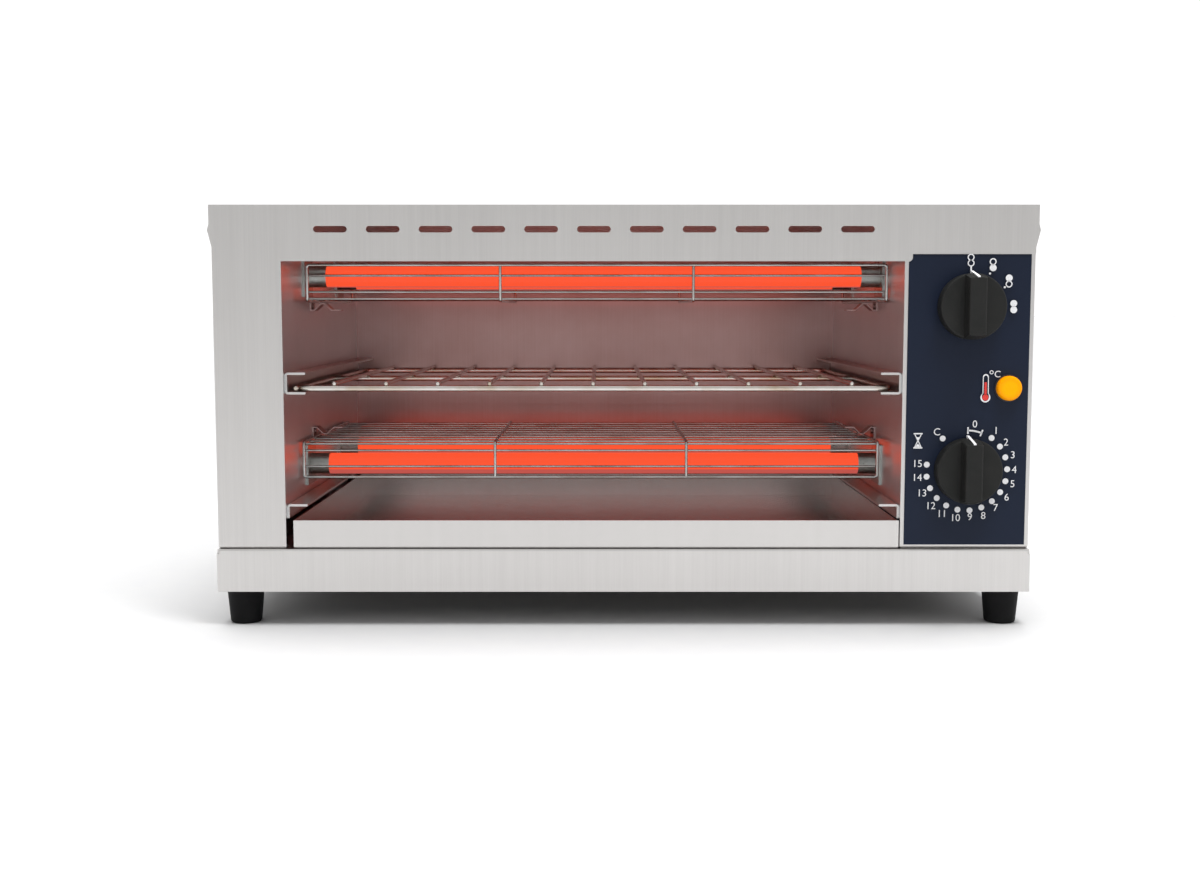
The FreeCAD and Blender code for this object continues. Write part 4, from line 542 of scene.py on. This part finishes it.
# The finish of each material slot, and of the nodes that differ from theirs
BY_SLOT = {
    "stainless": STEEL, "liner": CHAMBER, "wire": WIRE, "coil": HOT, "tube_metal": CAP,
    "zinc": ZINC, "foot_rubber": RUBBER, "overlay": FILM, "knob": KNOB, "device": DEVICE,
    "lens": LENS, "block": PORCELAIN,
}
BY_NODE = {
    "top_cover": STEEL_TOP, "base_pan": STEEL_LOW_PAINTED_LIGHTER, "crumb_tray": TRAY_STEEL,
    "left_grid_rail": STEEL, "right_grid_rail": STEEL,
    "left_tray_rail": STEEL, "right_tray_rail": STEEL,
    "chamber_left_wall": CHEEK, "chamber_right_wall": CHEEK,
    "terminal_nuts": BRASS, "tube_terminals": BRASS,
}


# Places on a flat face


def near(origin: Spot, across: float, up: float) -> Spot:
    """Returns the place that lies across and up, in millimetres, from another."""
    return (origin[0] + across * MM, origin[1] + up * MM)


def around(middle: Spot, radius: float, angle: float) -> Spot:
    """Returns the place on a circle at an angle in degrees, clockwise from the top."""
    turn = math.radians(angle)
    return (middle[0] + radius * math.sin(turn), middle[1] + radius * math.cos(turn))


def ring(middle: Spot, radius: float, sides: int = 28) -> list[Spot]:
    """Returns the points of a circle."""
    turns = [2 * math.pi * at / sides for at in range(sides)]
    return [(middle[0] + radius * math.cos(turn), middle[1] + radius * math.sin(turn))
            for turn in turns]


def bar(start: Spot, end: Spot, width: float) -> list[Spot]:
    """Returns the outline of a straight bar from start to end."""
    run = Vector((end[0] - start[0], end[1] - start[1])).normalized()
    x, z = -run.y * width / 2, run.x * width / 2
    return [(start[0] + x, start[1] + z), (end[0] + x, end[1] + z),
            (end[0] - x, end[1] - z), (start[0] - x, start[1] - z)]


# Meshes


def mesh_of(build: bmesh.types.BMesh, name: str) -> Mesh:
    """Returns a mesh with what was built, and frees the builder's copy."""
    mesh = bpy.data.meshes.new(name)
    build.to_mesh(mesh)
    build.free()
    return mesh


def placed(name: str, shape: bpy.types.ID) -> bpy.types.Object:
    """Returns a new object of the scene."""
    made = bpy.data.objects.new(name, shape)
    bpy.context.scene.collection.objects.link(made)
    return made


def piece(name: str, mesh: Mesh, body: Body, finish: Finish,
          stands_for: tuple[str, ...] = ()) -> None:
    """Sets a finished mesh in the scene.

    Args:
        name: The piece's name.
        mesh: Its mesh, already in place.
        body: The body that it rides on.
        finish: Its finish.
        stands_for: CAD nodes that it replaces.
    """
    mesh.materials.clear()
    mesh.materials.append(finish.material())
    made = placed(name, mesh)
    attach(made, body.value)
    if stands_for:
        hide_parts(*stands_for)
    log.info("%s: %d faces on %s", name, len(mesh.polygons), body.value)


def pairs(loop: list) -> list[tuple]:
    """Returns every member of a closed loop with the one after it."""
    return list(zip(loop, loop[1:] + loop[:1]))


def joined(name: str, *meshes: Mesh) -> Mesh:
    """Returns one mesh made of several."""
    build = bmesh.new()
    for mesh in meshes:
        build.from_mesh(mesh)
    return mesh_of(build, name)


def plain_mesh(carrier: bpy.types.Object) -> Mesh:
    """Returns an object's shape, as evaluated, as a plain mesh, and removes the object."""
    depsgraph = bpy.context.evaluated_depsgraph_get()
    shape = carrier.evaluated_get(depsgraph)
    mesh = bpy.data.meshes.new_from_object(shape, depsgraph=depsgraph)
    carrier.modifiers.clear()
    bpy.data.objects.remove(carrier)
    return mesh


def path_mesh(name: str, points: list[Point], closed: bool = False) -> Mesh:
    """Returns the edges from point to point."""
    edges = pairs(list(range(len(points))))
    mesh = bpy.data.meshes.new(name)
    mesh.from_pydata(points, edges if closed else edges[:-1], [])
    return mesh


def islands(node: bpy.types.Object) -> list[tuple[Vector, Vector]]:
    """Returns the box of every separate solid of a CAD node."""
    build = bmesh.new()
    build.from_mesh(node.data)
    bmesh.ops.remove_doubles(build, verts=build.verts, dist=1e-6)
    left, boxes = set(build.verts), []
    while left:
        reach, group = [left.pop()], []
        while reach:
            vertex = reach.pop()
            group.append(vertex.co.copy())
            for edge in vertex.link_edges:
                other = edge.other_vert(vertex)
                if other in left:
                    left.remove(other)
                    reach.append(other)
        boxes.append(tuple(Vector([pick(axis) for axis in zip(*group)]) for pick in (min, max)))
    build.free()
    return sorted(boxes, key=lambda box: tuple(box[0]))


class Works(Tree):
    """A Geometry Nodes tree with named inputs, run on a base mesh."""

    def __init__(self, name: str, **inputs: tuple[str, object]) -> None:
        """Starts the tree.

        Args:
            name: The tree's name.
            inputs: Socket kind and default for every named input.
        """
        self.tree = bpy.data.node_groups.new(name, "GeometryNodeTree")
        self._socket("Base", "Geometry")
        self._socket("Made", "Geometry", "OUTPUT")
        self.keys: dict[str, str] = {}
        for label, (kind, default) in inputs.items():
            item = self._socket(label, kind)
            if default is not None:
                item.default_value = default
            self.keys[label] = item.identifier
        entry = self.tree.nodes.new("NodeGroupInput")
        self.given = {socket.name: Signal(self, socket) for socket in entry.outputs}

    def _socket(self, name: str, kind: str,
                way: str = "INPUT") -> bpy.types.NodeTreeInterfaceSocket:
        """Returns a new named input or output of the tree."""
        return self.tree.interface.new_socket(
            name=name, in_out=way, socket_type="NodeSocket" + kind)

    def end(self, shape: Signal) -> None:
        """Ends the tree in real faces with the given finish."""
        real = self.node("GeometryNodeRealizeInstances", {}, {0: shape})
        dressed = self.node("GeometryNodeSetMaterial", {}, {
            "Geometry": real, "Material": self.given["Finish"]})
        self.node("NodeGroupOutput", {}, {"Made": dressed})

    def run(self, base: Mesh, **values: object) -> Mesh:
        """Runs the tree on a base mesh.

        Args:
            base: Points or edges that the tree works on.
            values: The named inputs that differ from their defaults.

        Returns:
            The result as a plain mesh.
        """
        carrier = placed(self.tree.name, base)
        work = carrier.modifiers.new(self.tree.name, "NODES")
        work.node_group = self.tree
        for label, value in values.items():
            work[self.keys[label]] = value
        return plain_mesh(carrier)


class WireWorks(Works):
    """Bends a wire along a path of edges and repeats it at a pitch."""

    def __init__(self) -> None:
        """Lays the tree: repeat the path, round its bends, draw the wire, round its ends."""
        super().__init__(
            "bent_wire", Wire_radius=("Float", 1.0 * MM), Bend_radius=("Float", 2.0 * MM),
            Count=("Int", 1), Pitch=("Vector", (0, 0, 0)), Sides=("Int", 12),
            Bend_steps=("Int", 5), Tip_rings=("Int", 6), Finish=("Material", None))
        given = self.given
        spots = self.node("GeometryNodeMeshLine", {"mode": "OFFSET", "count_mode": "TOTAL"}, {
            "Count": given["Count"], "Offset": given["Pitch"]})
        copies = self.node("GeometryNodeInstanceOnPoints", {}, {
            "Points": spots, "Instance": given["Base"]})
        line = self.node("GeometryNodeMeshToCurve", {}, {
            "Mesh": self.node("GeometryNodeRealizeInstances", {}, {0: copies})})
        bent = self.node("GeometryNodeFilletCurve", {"mode": "POLY"}, {
            "Curve": line, "Count": given["Bend_steps"], "Radius": given["Bend_radius"],
            "Limit Radius": True})
        round_wire = self.node("GeometryNodeCurvePrimitiveCircle", {"mode": "RADIUS"}, {
            "Resolution": given["Sides"], "Radius": given["Wire_radius"]})
        drawn = self.node("GeometryNodeCurveToMesh", {}, {
            "Curve": bent, "Profile Curve": round_wire, "Fill Caps": True})
        ball = self.node("GeometryNodeMeshUVSphere", {}, {
            "Segments": given["Sides"], "Rings": given["Tip_rings"],
            "Radius": given["Wire_radius"]})
        tips = self.node("GeometryNodeInstanceOnPoints", {}, {
            "Points": line, "Instance": ball,
            "Selection": self.node("GeometryNodeCurveEndpointSelection")})
        both = self.node("GeometryNodeJoinGeometry", {}, {0: tips})
        self.tree.links.new(drawn.socket, both.socket.node.inputs[0])
        self.end(self.node("GeometryNodeSetShadeSmooth", {}, {
            "Geometry": both, "Shade Smooth": True}))


class ScrewWorks(Works):
    """Sets one screw at every point, each driven to its own angle."""

    def __init__(self) -> None:
        """Lays the tree: instance the screw, stand it up, turn it by a fixed seed."""
        super().__init__(
            "driven_screws", Screw=("Object", None), Stand=("Vector", (0, 0, 0)), Seed=("Int", 7),
            Finish=("Material", None))
        screw = self.node("GeometryNodeObjectInfo", {"transform_space": "ORIGINAL"}, {
            "Object": self.given["Screw"]}, "Geometry")
        upright = self.node("GeometryNodeInstanceOnPoints", {}, {
            "Points": self.given["Base"], "Instance": screw, "Rotation": self.given["Stand"]})
        turn = self.node("FunctionNodeRandomValue", {"data_type": "FLOAT"}, {
            2: 0.0, 3: math.pi / 2, "Seed": self.given["Seed"]}, 1)
        about = self.node("ShaderNodeCombineXYZ", {}, {"Z": turn})
        self.end(self.node("GeometryNodeRotateInstances", {}, {
            "Instances": upright, "Rotation": about, "Local Space": True}))


# Sub-assemblies


@dataclass
class ToastingGrid:
    """Slide-in grid: a closed rim, a wire across it and bars that end in round tips."""

    works: WireWorks
    middle: float = -19.65 * MM
    half_width: float = 192.5 * MM
    front: float = FRONT + 8 * MM
    rear: float = FRONT + 270 * MM
    level: float = 154.4 * MM
    rim: float = 4 * MM
    corner: float = 10 * MM
    bar: float = 3 * MM
    bars: int = 11
    pitch: float = 33.5 * MM
    overhang: float = 0.5 * MM
    bite: float = 0.3 * MM

    def build(self) -> Mesh:
        """Returns the welded grid."""
        left, right = self.middle - self.half_width, self.middle + self.half_width
        rim = path_mesh("rim", [
            (left, self.front, self.level), (right, self.front, self.level),
            (right, self.rear, self.level), (left, self.rear, self.level)], True)
        half_way = (self.front + self.rear) / 2
        cross = path_mesh("cross", [
            (left, half_way, self.level), (right, half_way, self.level)])
        top = self.level + (self.rim + self.bar) / 2 - self.bite
        start = self.middle - self.pitch * (self.bars - 1) / 2
        bar = path_mesh("bar", [
            (start, self.front - self.overhang, top), (start, self.rear + self.overhang, top)])
        thick = {"Wire_radius": self.rim / 2, "Sides": 16, "Finish": WIRE.material()}
        return joined(
            "grid",
            self.works.run(rim, Bend_radius=self.corner, **thick),
            self.works.run(cross, **thick),
            self.works.run(bar, Wire_radius=self.bar / 2, Count=self.bars,
                           Pitch=(self.pitch, 0, 0), Sides=14, Finish=WIRE.material()))

    def dress(self) -> None:
        """Sets the grid in place of its CAD node."""
        piece("welded_grid", self.build(), Body.GRID, WIRE, ("toasting_grid",))


@dataclass
class WireGuard:
    """Guard between the food and a pair of tubes: hoops, looped ends and lengthwise wires."""

    works: WireWorks
    name: str
    node: str
    middle: float
    plane: float
    up: float
    half_length: float = 194.5 * MM
    front: float = FRONT + 47 * MM
    rear: float = FRONT + 218 * MM
    drop: float = 23.3 * MM
    loop_foot: float = 20 * MM
    loop_top: float = 24 * MM
    run_heights: tuple[float, ...] = (6.0 * MM, 16.9 * MM)
    wire: float = 2 * MM
    run_wire: float = 1.5 * MM
    bite: float = 0.3 * MM
    bend: float = 2 * MM
    hoops: int = 4
    bars: int = 10

    def level(self, height: float) -> float:
        """Returns the level of a wire at a height over the plane that faces the food."""
        return self.plane + self.up * height

    def build(self) -> Mesh:
        """Returns the welded guard."""
        left, right = self.middle - self.half_length, self.middle + self.half_length
        foot, top = self.level(self.loop_foot), self.level(self.loop_top)
        thick = {"Wire_radius": self.wire / 2, "Finish": GUARD_WIRE.material()}
        thin = {"Wire_radius": self.run_wire / 2, "Finish": GUARD_WIRE.material()}
        hoop = path_mesh("hoop", [
            (left, self.front, self.level(self.drop)), (left, self.front, self.level(0)),
            (left, self.rear, self.level(0)), (left, self.rear, self.level(self.drop))])
        pitch = 2 * self.half_length / (self.hoops - 1)
        meshes = [self.works.run(hoop, Bend_radius=self.bend, Count=self.hoops,
                                 Pitch=(pitch, 0, 0), **thick)]
        for depth in (self.front, self.rear):
            loop = path_mesh("loop", [
                (left, depth, foot), (left, depth, top), (right, depth, top), (right, depth, foot)])
            meshes.append(self.works.run(loop, Bend_radius=self.bend, **thick))
        weld = (self.wire + self.run_wire) / 2 - self.bite
        start = self.front + weld
        for height in self.run_heights:
            run = path_mesh("run", [(end, start, self.level(height)) for end in (left, right)])
            meshes.append(self.works.run(run, **thin))
        bar = path_mesh("bar", [(end, start, self.level(weld)) for end in (left, right)])
        pitch = (self.rear - self.front - 2 * weld) / (self.bars - 1)
        meshes.append(self.works.run(bar, Count=self.bars, Pitch=(0, pitch, 0), **thin))
        return joined(self.name, *meshes)

    def dress(self) -> None:
        """Sets the guard in place of its CAD node."""
        piece(self.name, self.build(), Body.HOUSING, GUARD_WIRE, (self.node,))


@dataclass
class Screws:
    """Pan-head screws with a cross recess, in place of the plain ones of the CAD.

    Shares are of the head's radius; in the profile, of its radius and height.
    """

    works: ScrewWorks
    height: float = 2.4 * MM
    shank: float = 0.5
    profile: tuple[Spot, ...] = (
        (1.0, 0), (1.0, 0.42), (0.96, 0.7), (0.86, 0.92), (0.74, 1.0))
    slot_width: float = 0.13
    slot_reach: float = 0.5
    slot_taper: float = 0.55
    slot_floor: float = 0.3

    def one(self, radius: float, length: float) -> bpy.types.Object:
        """Builds one screw that points up.

        Args:
            radius: Radius of the head.
            length: Length of the shank under the seat.

        Returns:
            The object that the tree instances.
        """
        build = bmesh.new()
        levels = [(self.shank, -length), (self.shank, 0)]
        levels += [(share, part * self.height) for share, part in self.profile]
        rings = [[build.verts.new((*spot, level)) for spot in ring((0, 0), radius * share)]
                 for share, level in levels]
        for low, high in zip(rings, rings[1:]):
            for (a, b), (d, c) in zip(pairs(low), pairs(high)):
                build.faces.new((a, b, c, d)).smooth = True
        build.faces.new(list(reversed(rings[0])))
        wide, long = self.slot_width * radius, self.slot_reach * radius
        arm = [(wide, wide), (wide, long), (-wide, long)]
        cross = [spot for x, y in ((1, 0), (0, 1), (-1, 0), (0, -1))
                 for spot in [(x * a - y * b, y * a + x * b) for a, b in arm]]
        brink = [build.verts.new((x, y, self.height)) for x, y in cross]
        floor = [build.verts.new((self.slot_taper * x, self.slot_taper * y,
                                  self.slot_floor * self.height)) for x, y in cross]
        for (a, b), (d, c) in zip(pairs(brink), pairs(floor)):
            build.faces.new((a, d, c, b))
        build.faces.new(floor)
        build.edges.ensure_lookup_table()
        rim = [build.edges.get(pair) for pair in pairs(rings[-1]) + pairs(brink)]
        bmesh.ops.triangle_fill(
            build, use_beauty=True, use_dissolve=False, edges=rim, normal=(0, 0, 1))
        bmesh.ops.recalc_face_normals(build, faces=build.faces)
        return placed("one_screw", mesh_of(build, "one_screw"))

    def dress(self, node: bpy.types.Object, axis: str) -> None:
        """Replaces a node of screws.

        Args:
            node: The CAD node.
            axis: "Y" where the heads point to the rear, "Z" where they point down.
        """
        seats, radius, length = [], 0.0, 0.0
        for low, high in islands(node):
            middle = (low + high) / 2
            radius = (high.x - low.x) / 2
            if axis == "Y":
                seats.append((middle.x, high.y - self.height, middle.z))
                length = high.y - low.y - self.height
            else:
                seats.append((middle.x, middle.y, low.z + self.height))
                length = high.z - low.z - self.height
        screw = self.one(radius, length)
        stand = (-math.pi / 2, 0, 0) if axis == "Y" else (math.pi, 0, 0)
        mesh = self.works.run(path_mesh("seats", seats), Screw=screw, Stand=stand,
                              Finish=ZINC.material())
        bpy.data.objects.remove(screw)
        piece("driven_" + node.name, mesh, Body.HOUSING, ZINC, (node.name,))


@dataclass
class ControlPrint:
    """White and red marks on the film, and the index lines on the knobs.

    Numbers without MM are millimetres from the middle of the knob or the mark that they
    belong to, or degrees clockwise from the top.
    """

    face: float = FRONT - 0.75 * MM
    thick: float = 0.05 * MM
    selector: Spot = (221.3 * MM, 207.2 * MM)
    timer: Spot = (221.3 * MM, 101.9 * MM)
    gauge: Spot = (232.2 * MM, 155.6 * MM)
    dot: float = 1.9 * MM
    dot_ring: float = 26.1 * MM
    minutes: int = 15
    first_minute: float = 36.5
    minute: float = 17.27
    continuous: float = -37.6
    digit: float = 4.7 * MM
    letter_share: float = 1.4
    labels: tuple[tuple[str, float, float], ...] = (
        ("0", 4.6, 29.8), ("1", 18.3, 25.6), ("2", 24.9, 18.1), ("3", 29.5, 9.9),
        ("4", 30.7, 0.3), ("5", 29.8, -8.9), ("6", 26.2, -17.6), ("7", 19.2, -24.4),
        ("8", 11.4, -29.6), ("9", 2.7, -30.4), ("10", -6.7, -31.0), ("11", -15.4, -28.3),
        ("12", -22.8, -23.2), ("13", -28.6, -14.9), ("14", -31.9, -4.8), ("15", -31.9, 4.2),
        ("C", -19.7, 24.7))
    bracket_start: float = 0.5
    bracket_step: float = 2.2
    bracket_rings: Spot = (25.3 * MM, 26.4 * MM)
    tick_rings: Spot = (23.6 * MM, 28.0 * MM)
    hourglass_spot: Spot = (-31.8, 19.2)
    hourglass_plate: Spot = (2.9, 4.6)
    hourglass_wall: Spot = (2.2, 4.4)
    hourglass_neck: float = 0.1
    sand: tuple[tuple[Spot, ...], ...] = (
        ((-1.7, -4.0), (1.7, -4.0), (0, -1.8)), ((-1.1, 2.3), (1.1, 2.3), (0, 0.6)))
    element_marks: tuple[tuple[float, float, bool], ...] = (
        (-0.4, 31.2, False), (-0.3, 27.5, False), (13.7, 28.4, False), (13.8, 24.5, True),
        (24.2, 18.1, True), (24.2, 14.2, False), (27.5, 1.9, True), (27.6, -2.1, True))
    hollow: float = 2.2 * MM
    hollow_line: float = 0.7 * MM
    zero_line: tuple[Spot, Spot] = ((-0.2, 25.3), (-0.2, 21.8))
    stops: tuple[Spot, ...] = ((11.9, 20.9), (21.5, 12.2))
    stop: float = 0.7 * MM
    stem: float = 1.9
    stem_foot: float = -4.4
    stem_top: float = 6.6
    bulb: float = 3.2
    bulb_drop: float = 6.6
    degree: Spot = (3.6, 9.6)
    unit: Spot = (7.4, 8.2)
    rib_half: float = 0.85 * MM
    rib: tuple[Spot, ...] = (
        (1.1, 22.7), (2.0, 22.7), (20.0, 18.95), (20.0, 18.2), (1.1, 18.2))

    def plate(self, *loops: list[Spot]) -> Mesh:
        """Returns a thin printed shape on the film, from its outline and then its holes."""
        build = bmesh.new()
        edges = []
        for loop in loops:
            verts = [build.verts.new((x, self.face, z)) for x, z in loop]
            edges += [build.edges.new(pair) for pair in pairs(verts)]
        bmesh.ops.triangle_fill(
            build, use_beauty=True, use_dissolve=False, edges=edges, normal=(0, -1, 0))
        made = bmesh.ops.extrude_face_region(build, geom=build.faces[:])
        back = [part for part in made["geom"] if isinstance(part, bmesh.types.BMVert)]
        bmesh.ops.translate(build, vec=(0, self.thick, 0), verts=back)
        bmesh.ops.recalc_face_normals(build, faces=build.faces)
        return mesh_of(build, "mark")

    def lettering(self, text: str, spot: Spot, height: float) -> Mesh:
        """Returns printed characters centred on a point of the film."""
        line = bpy.data.curves.new("figure", "FONT")
        line.body, line.size = text, height * self.letter_share
        line.align_x, line.align_y = "CENTER", "CENTER"
        line.extrude, line.resolution_u = self.thick / 2, 4
        mesh = plain_mesh(placed("figure", line))
        upright = Matrix.Rotation(math.pi / 2, 4, "X")
        mesh.transform(Matrix.Translation((spot[0], self.face + self.thick / 2, spot[1])) @ upright)
        return mesh

    def bracket(self) -> list[Mesh]:
        """Returns the arc by the timer's zero, with a tick at either end."""
        arc = [self.bracket_start + self.bracket_step * step for step in range(10)]
        inner, outer = self.bracket_rings
        band = [around(self.timer, outer, angle) for angle in arc]
        band += [around(self.timer, inner, angle) for angle in reversed(arc)]
        ticks = [bar(*(around(self.timer, reach, angle) for reach in self.tick_rings), 1.0 * MM)
                 for angle in (arc[0], arc[-1])]
        return [self.plate(shape) for shape in [band] + ticks]

    def hourglass(self) -> list[Mesh]:
        """Returns the hourglass: its plates, its sloping walls and the sand."""
        glass = near(self.timer, *self.hourglass_spot)
        (plate_x, plate_z), (wall_x, wall_z) = self.hourglass_plate, self.hourglass_wall
        shapes = []
        for side in (1, -1):
            shapes.append(bar(near(glass, -plate_x, side * plate_z),
                              near(glass, plate_x, side * plate_z), 0.8 * MM))
            shapes += [bar(near(glass, edge * wall_x, side * wall_z),
                           near(glass, edge * self.hourglass_neck, 0), 0.55 * MM)
                       for edge in (1, -1)]
        shapes += [[near(glass, *spot) for spot in heap] for heap in self.sand]
        return [self.plate(shape) for shape in shapes]

    def timer_scale(self) -> list[Mesh]:
        """Returns the timer's dots, figures, start bracket and hourglass."""
        angles = [self.first_minute + self.minute * count for count in range(self.minutes)]
        marks = [self.plate(ring(around(self.timer, self.dot_ring, angle), self.dot))
                 for angle in angles + [self.continuous]]
        marks += [self.lettering(text, near(self.timer, across, up), self.digit)
                  for text, across, up in self.labels]
        return marks + self.bracket() + self.hourglass()

    def selector_scale(self) -> list[Mesh]:
        """Returns the circles that show which elements are on, the zero line and the stops."""
        marks = []
        for across, up, filled in self.element_marks:
            spot = near(self.selector, across, up)
            holes = [] if filled else [ring(spot, self.hollow - self.hollow_line)]
            marks.append(self.plate(ring(spot, self.hollow), *holes))
        start, end = (near(self.selector, *spot) for spot in self.zero_line)
        marks.append(self.plate(bar(start, end, 1.0 * MM)))
        return marks + [self.plate(ring(near(self.selector, *spot), self.stop, 16))
                        for spot in self.stops]

    def thermometer(self) -> list[Mesh]:
        """Returns the outline of the thermometer, its degree sign and its letter."""
        x, z = self.gauge
        wall = [near(self.gauge, -self.stem, self.stem_foot),
                near(self.gauge, -self.stem, self.stem_top)]
        arch = [near(self.gauge, -self.stem * math.cos(turn),
                     self.stem_top + self.stem * math.sin(turn))
                for turn in (math.pi * step / 8 for step in range(1, 9))]
        bulb = [near(self.gauge, self.bulb * math.cos(turn),
                     self.bulb * math.sin(turn) - self.bulb_drop)
                for turn in (math.radians(50 - 280 * step / 16) for step in range(17))]
        outline = wall + arch + bulb
        lift = 1.2 * MM
        inside = [(x + (px - x) * 0.72, z - lift + (pz - z + lift) * 0.9) for px, pz in outline]
        degree = near(self.gauge, *self.degree)
        return [self.plate(outline, inside),
                self.plate(ring(degree, 1.3 * MM, 20), ring(degree, 0.8 * MM, 20)),
                self.lettering("C", near(self.gauge, *self.unit), 4.3 * MM)]

    def mercury(self) -> list[Mesh]:
        """Returns the red filling of the thermometer."""
        column = bar(near(self.gauge, 0, -5.0), near(self.gauge, 0, 3.2), 1.5 * MM)
        drop = ring(near(self.gauge, 0, -self.bulb_drop), 2.0 * MM)
        return [self.plate(column), self.plate(drop)]

    def index(self, axis: Spot) -> Mesh:
        """Returns the white rib that runs from the film down the sloping end of a grip."""
        build = bmesh.new()
        sides = [[build.verts.new((axis[0] + side, FRONT - out * MM, axis[1] + level * MM))
                  for out, level in self.rib] for side in (-self.rib_half, self.rib_half)]
        for (a, b), (d, c) in zip(*map(pairs, sides)):
            build.faces.new((a, b, c, d))
        for side in sides:
            build.faces.new(side)
        bmesh.ops.recalc_face_normals(build, faces=build.faces)
        return mesh_of(build, "index")

    def dress(self) -> None:
        """Prints the film and the knobs."""
        for name, marks, ink in (("timer_scale", self.timer_scale(), WHITE_INK),
                                 ("selector_scale", self.selector_scale(), WHITE_INK),
                                 ("thermometer", self.thermometer(), WHITE_INK),
                                 ("thermometer_filling", self.mercury(), RED_INK)):
            piece(name, joined(name, *marks), Body.HOUSING, ink)
        piece("selector_index", self.index(self.selector), Body.SELECTOR, WHITE_INK)
        piece("timer_index", self.index(self.timer), Body.TIMER, WHITE_INK)


@dataclass
class Housing:
    """What stays as it comes from the CAD and only gets its finish."""

    nodes: dict
    subparts: list

    def dress(self) -> None:
        """Gives every CAD node the finish of its slot or its own."""
        for subpart in self.subparts:
            name = subpart["node"]
            finish = BY_NODE.get(name, BY_SLOT.get(subpart["material_slot"], STEEL))
            if name.endswith("_tube"):
                low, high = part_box(name)
                finish = GlowingQuartz("quartz_" + name, level=(low[2] + high[2]) / 2,
                                       dim_foot=0.3 if name.startswith("lower") else 0.05)
            for slot in self.nodes[name].material_slots:
                slot.material = finish.material()


@dataclass
class Studio:
    """Pale floor, soft lights and the camera.

    The surround changes from front_light behind the camera to rear_light over the span
    turning, and gains top_light over the span rising. Both spans are shares of a direction.
    """

    lens: float = 42.12
    sensor: float = 36.0
    eye: Point = (-15.2 * MM, FRONT - 900.6 * MM, 205.6 * MM)
    tilt: float = 5.19
    front_light: float = 0.62
    rear_light: float = 1.12
    turning: Spot = (-0.35, 0.25)
    top_light: float = 0.25
    rising: Spot = (0.45, 0.9)
    overhead: float = 3.9
    overhead_place: Point = (0, 0.2, 2)
    spread: float = 40.0
    key: float = 14
    key_size: Spot = (0.5, 0.3)
    key_place: Point = (0.4, -0.55, 1.4)
    key_aim: Point = (0.2, -0.15, 0.15)
    floor_size: float = 40

    def floor(self) -> None:
        """Lays the floor."""
        build = bmesh.new()
        bmesh.ops.create_grid(build, x_segments=2, y_segments=2, size=self.floor_size)
        ground = placed("floor", mesh_of(build, "floor"))
        ground.data.materials.append(StudioFloor("studio_floor").material())

    def sky(self) -> None:
        """Sets a surround that dims behind the camera, as before a bright backdrop."""
        surround = bpy.data.worlds.new("surround")
        graph = Graph(surround)
        way = graph.node("ShaderNodeTexCoord", output="Generated")

        def swell(axis: int, span: Spot, low: float, high: float) -> Signal:
            """Returns light that changes from low to high over a span of one axis."""
            part = graph.node("ShaderNodeSeparateXYZ", {}, {0: way}, axis)
            return graph.node("ShaderNodeMapRange", {"interpolation_type": "SMOOTHSTEP"}, {
                0: part, 1: span[0], 2: span[1], 3: low, 4: high})

        level = swell(1, self.turning, self.front_light, self.rear_light)
        level = level + swell(2, self.rising, 0.0, self.top_light)
        light = graph.node("ShaderNodeBackground", {}, {
            "Color": (1, 1, 1, 1), "Strength": level})
        graph.node("ShaderNodeOutputWorld", {}, {"Surface": light})
        bpy.context.scene.world = surround

    @staticmethod
    def lamp(light: bpy.types.Light, place: Point, aim: Point) -> None:
        """Hangs a light, seen neither by the camera nor in the metal, and aims it."""
        holder = placed(light.name, light)
        holder.location = place
        holder.rotation_euler = (Vector(aim) - Vector(place)).to_track_quat("-Z", "Y").to_euler()
        holder.visible_camera = holder.visible_glossy = False

    def lights(self) -> None:
        """Hangs a soft box high on the right and a broad light overhead."""
        key = bpy.data.lights.new("key", "AREA")
        key.shape, key.energy = "RECTANGLE", self.key
        key.size, key.size_y = self.key_size
        self.lamp(key, self.key_place, self.key_aim)
        overhead = bpy.data.lights.new("overhead", "SUN")
        overhead.angle, overhead.energy = math.radians(self.spread), self.overhead
        self.lamp(overhead, self.overhead_place, (0, 0, 0))

    def camera(self) -> None:
        """Sets the camera at the photograph's angle."""
        view = bpy.data.cameras.new("camera")
        view.lens, view.sensor_width, view.sensor_fit = self.lens, self.sensor, "HORIZONTAL"
        holder = placed("camera", view)
        holder.location = self.eye
        holder.rotation_euler = (math.radians(90 - self.tilt), 0, 0)
        bpy.context.scene.camera = holder

    def build(self) -> None:
        """Builds the whole studio."""
        self.floor()
        self.sky()
        self.lights()
        self.camera()
        bpy.context.scene.view_settings.view_transform = "Standard"


def main() -> None:
    """Builds and dresses the toaster in its studio."""
    logging.basicConfig(level=logging.INFO, format="%(name)s: %(message)s")
    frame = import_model()
    Studio().build()
    Housing(frame["nodes"], frame["record"]["subparts"]).dress()
    wires, screws = WireWorks(), Screws(ScrewWorks())
    ToastingGrid(wires).dress()
    WireGuard(wires, "upper_wire_guard", "upper_guard", -17.3 * MM, 211.0 * MM, 1.0).dress()
    WireGuard(wires, "lower_wire_guard", "lower_guard", -21.5 * MM, 115.9 * MM, -1.0).dress()
    for name, axis in (("cover_screws", "Y"), ("back_panel_screws", "Y"), ("base_screws", "Z")):
        screws.dress(frame["nodes"][name], axis)
    ControlPrint().dress()


if __name__ == "__main__":
    main()
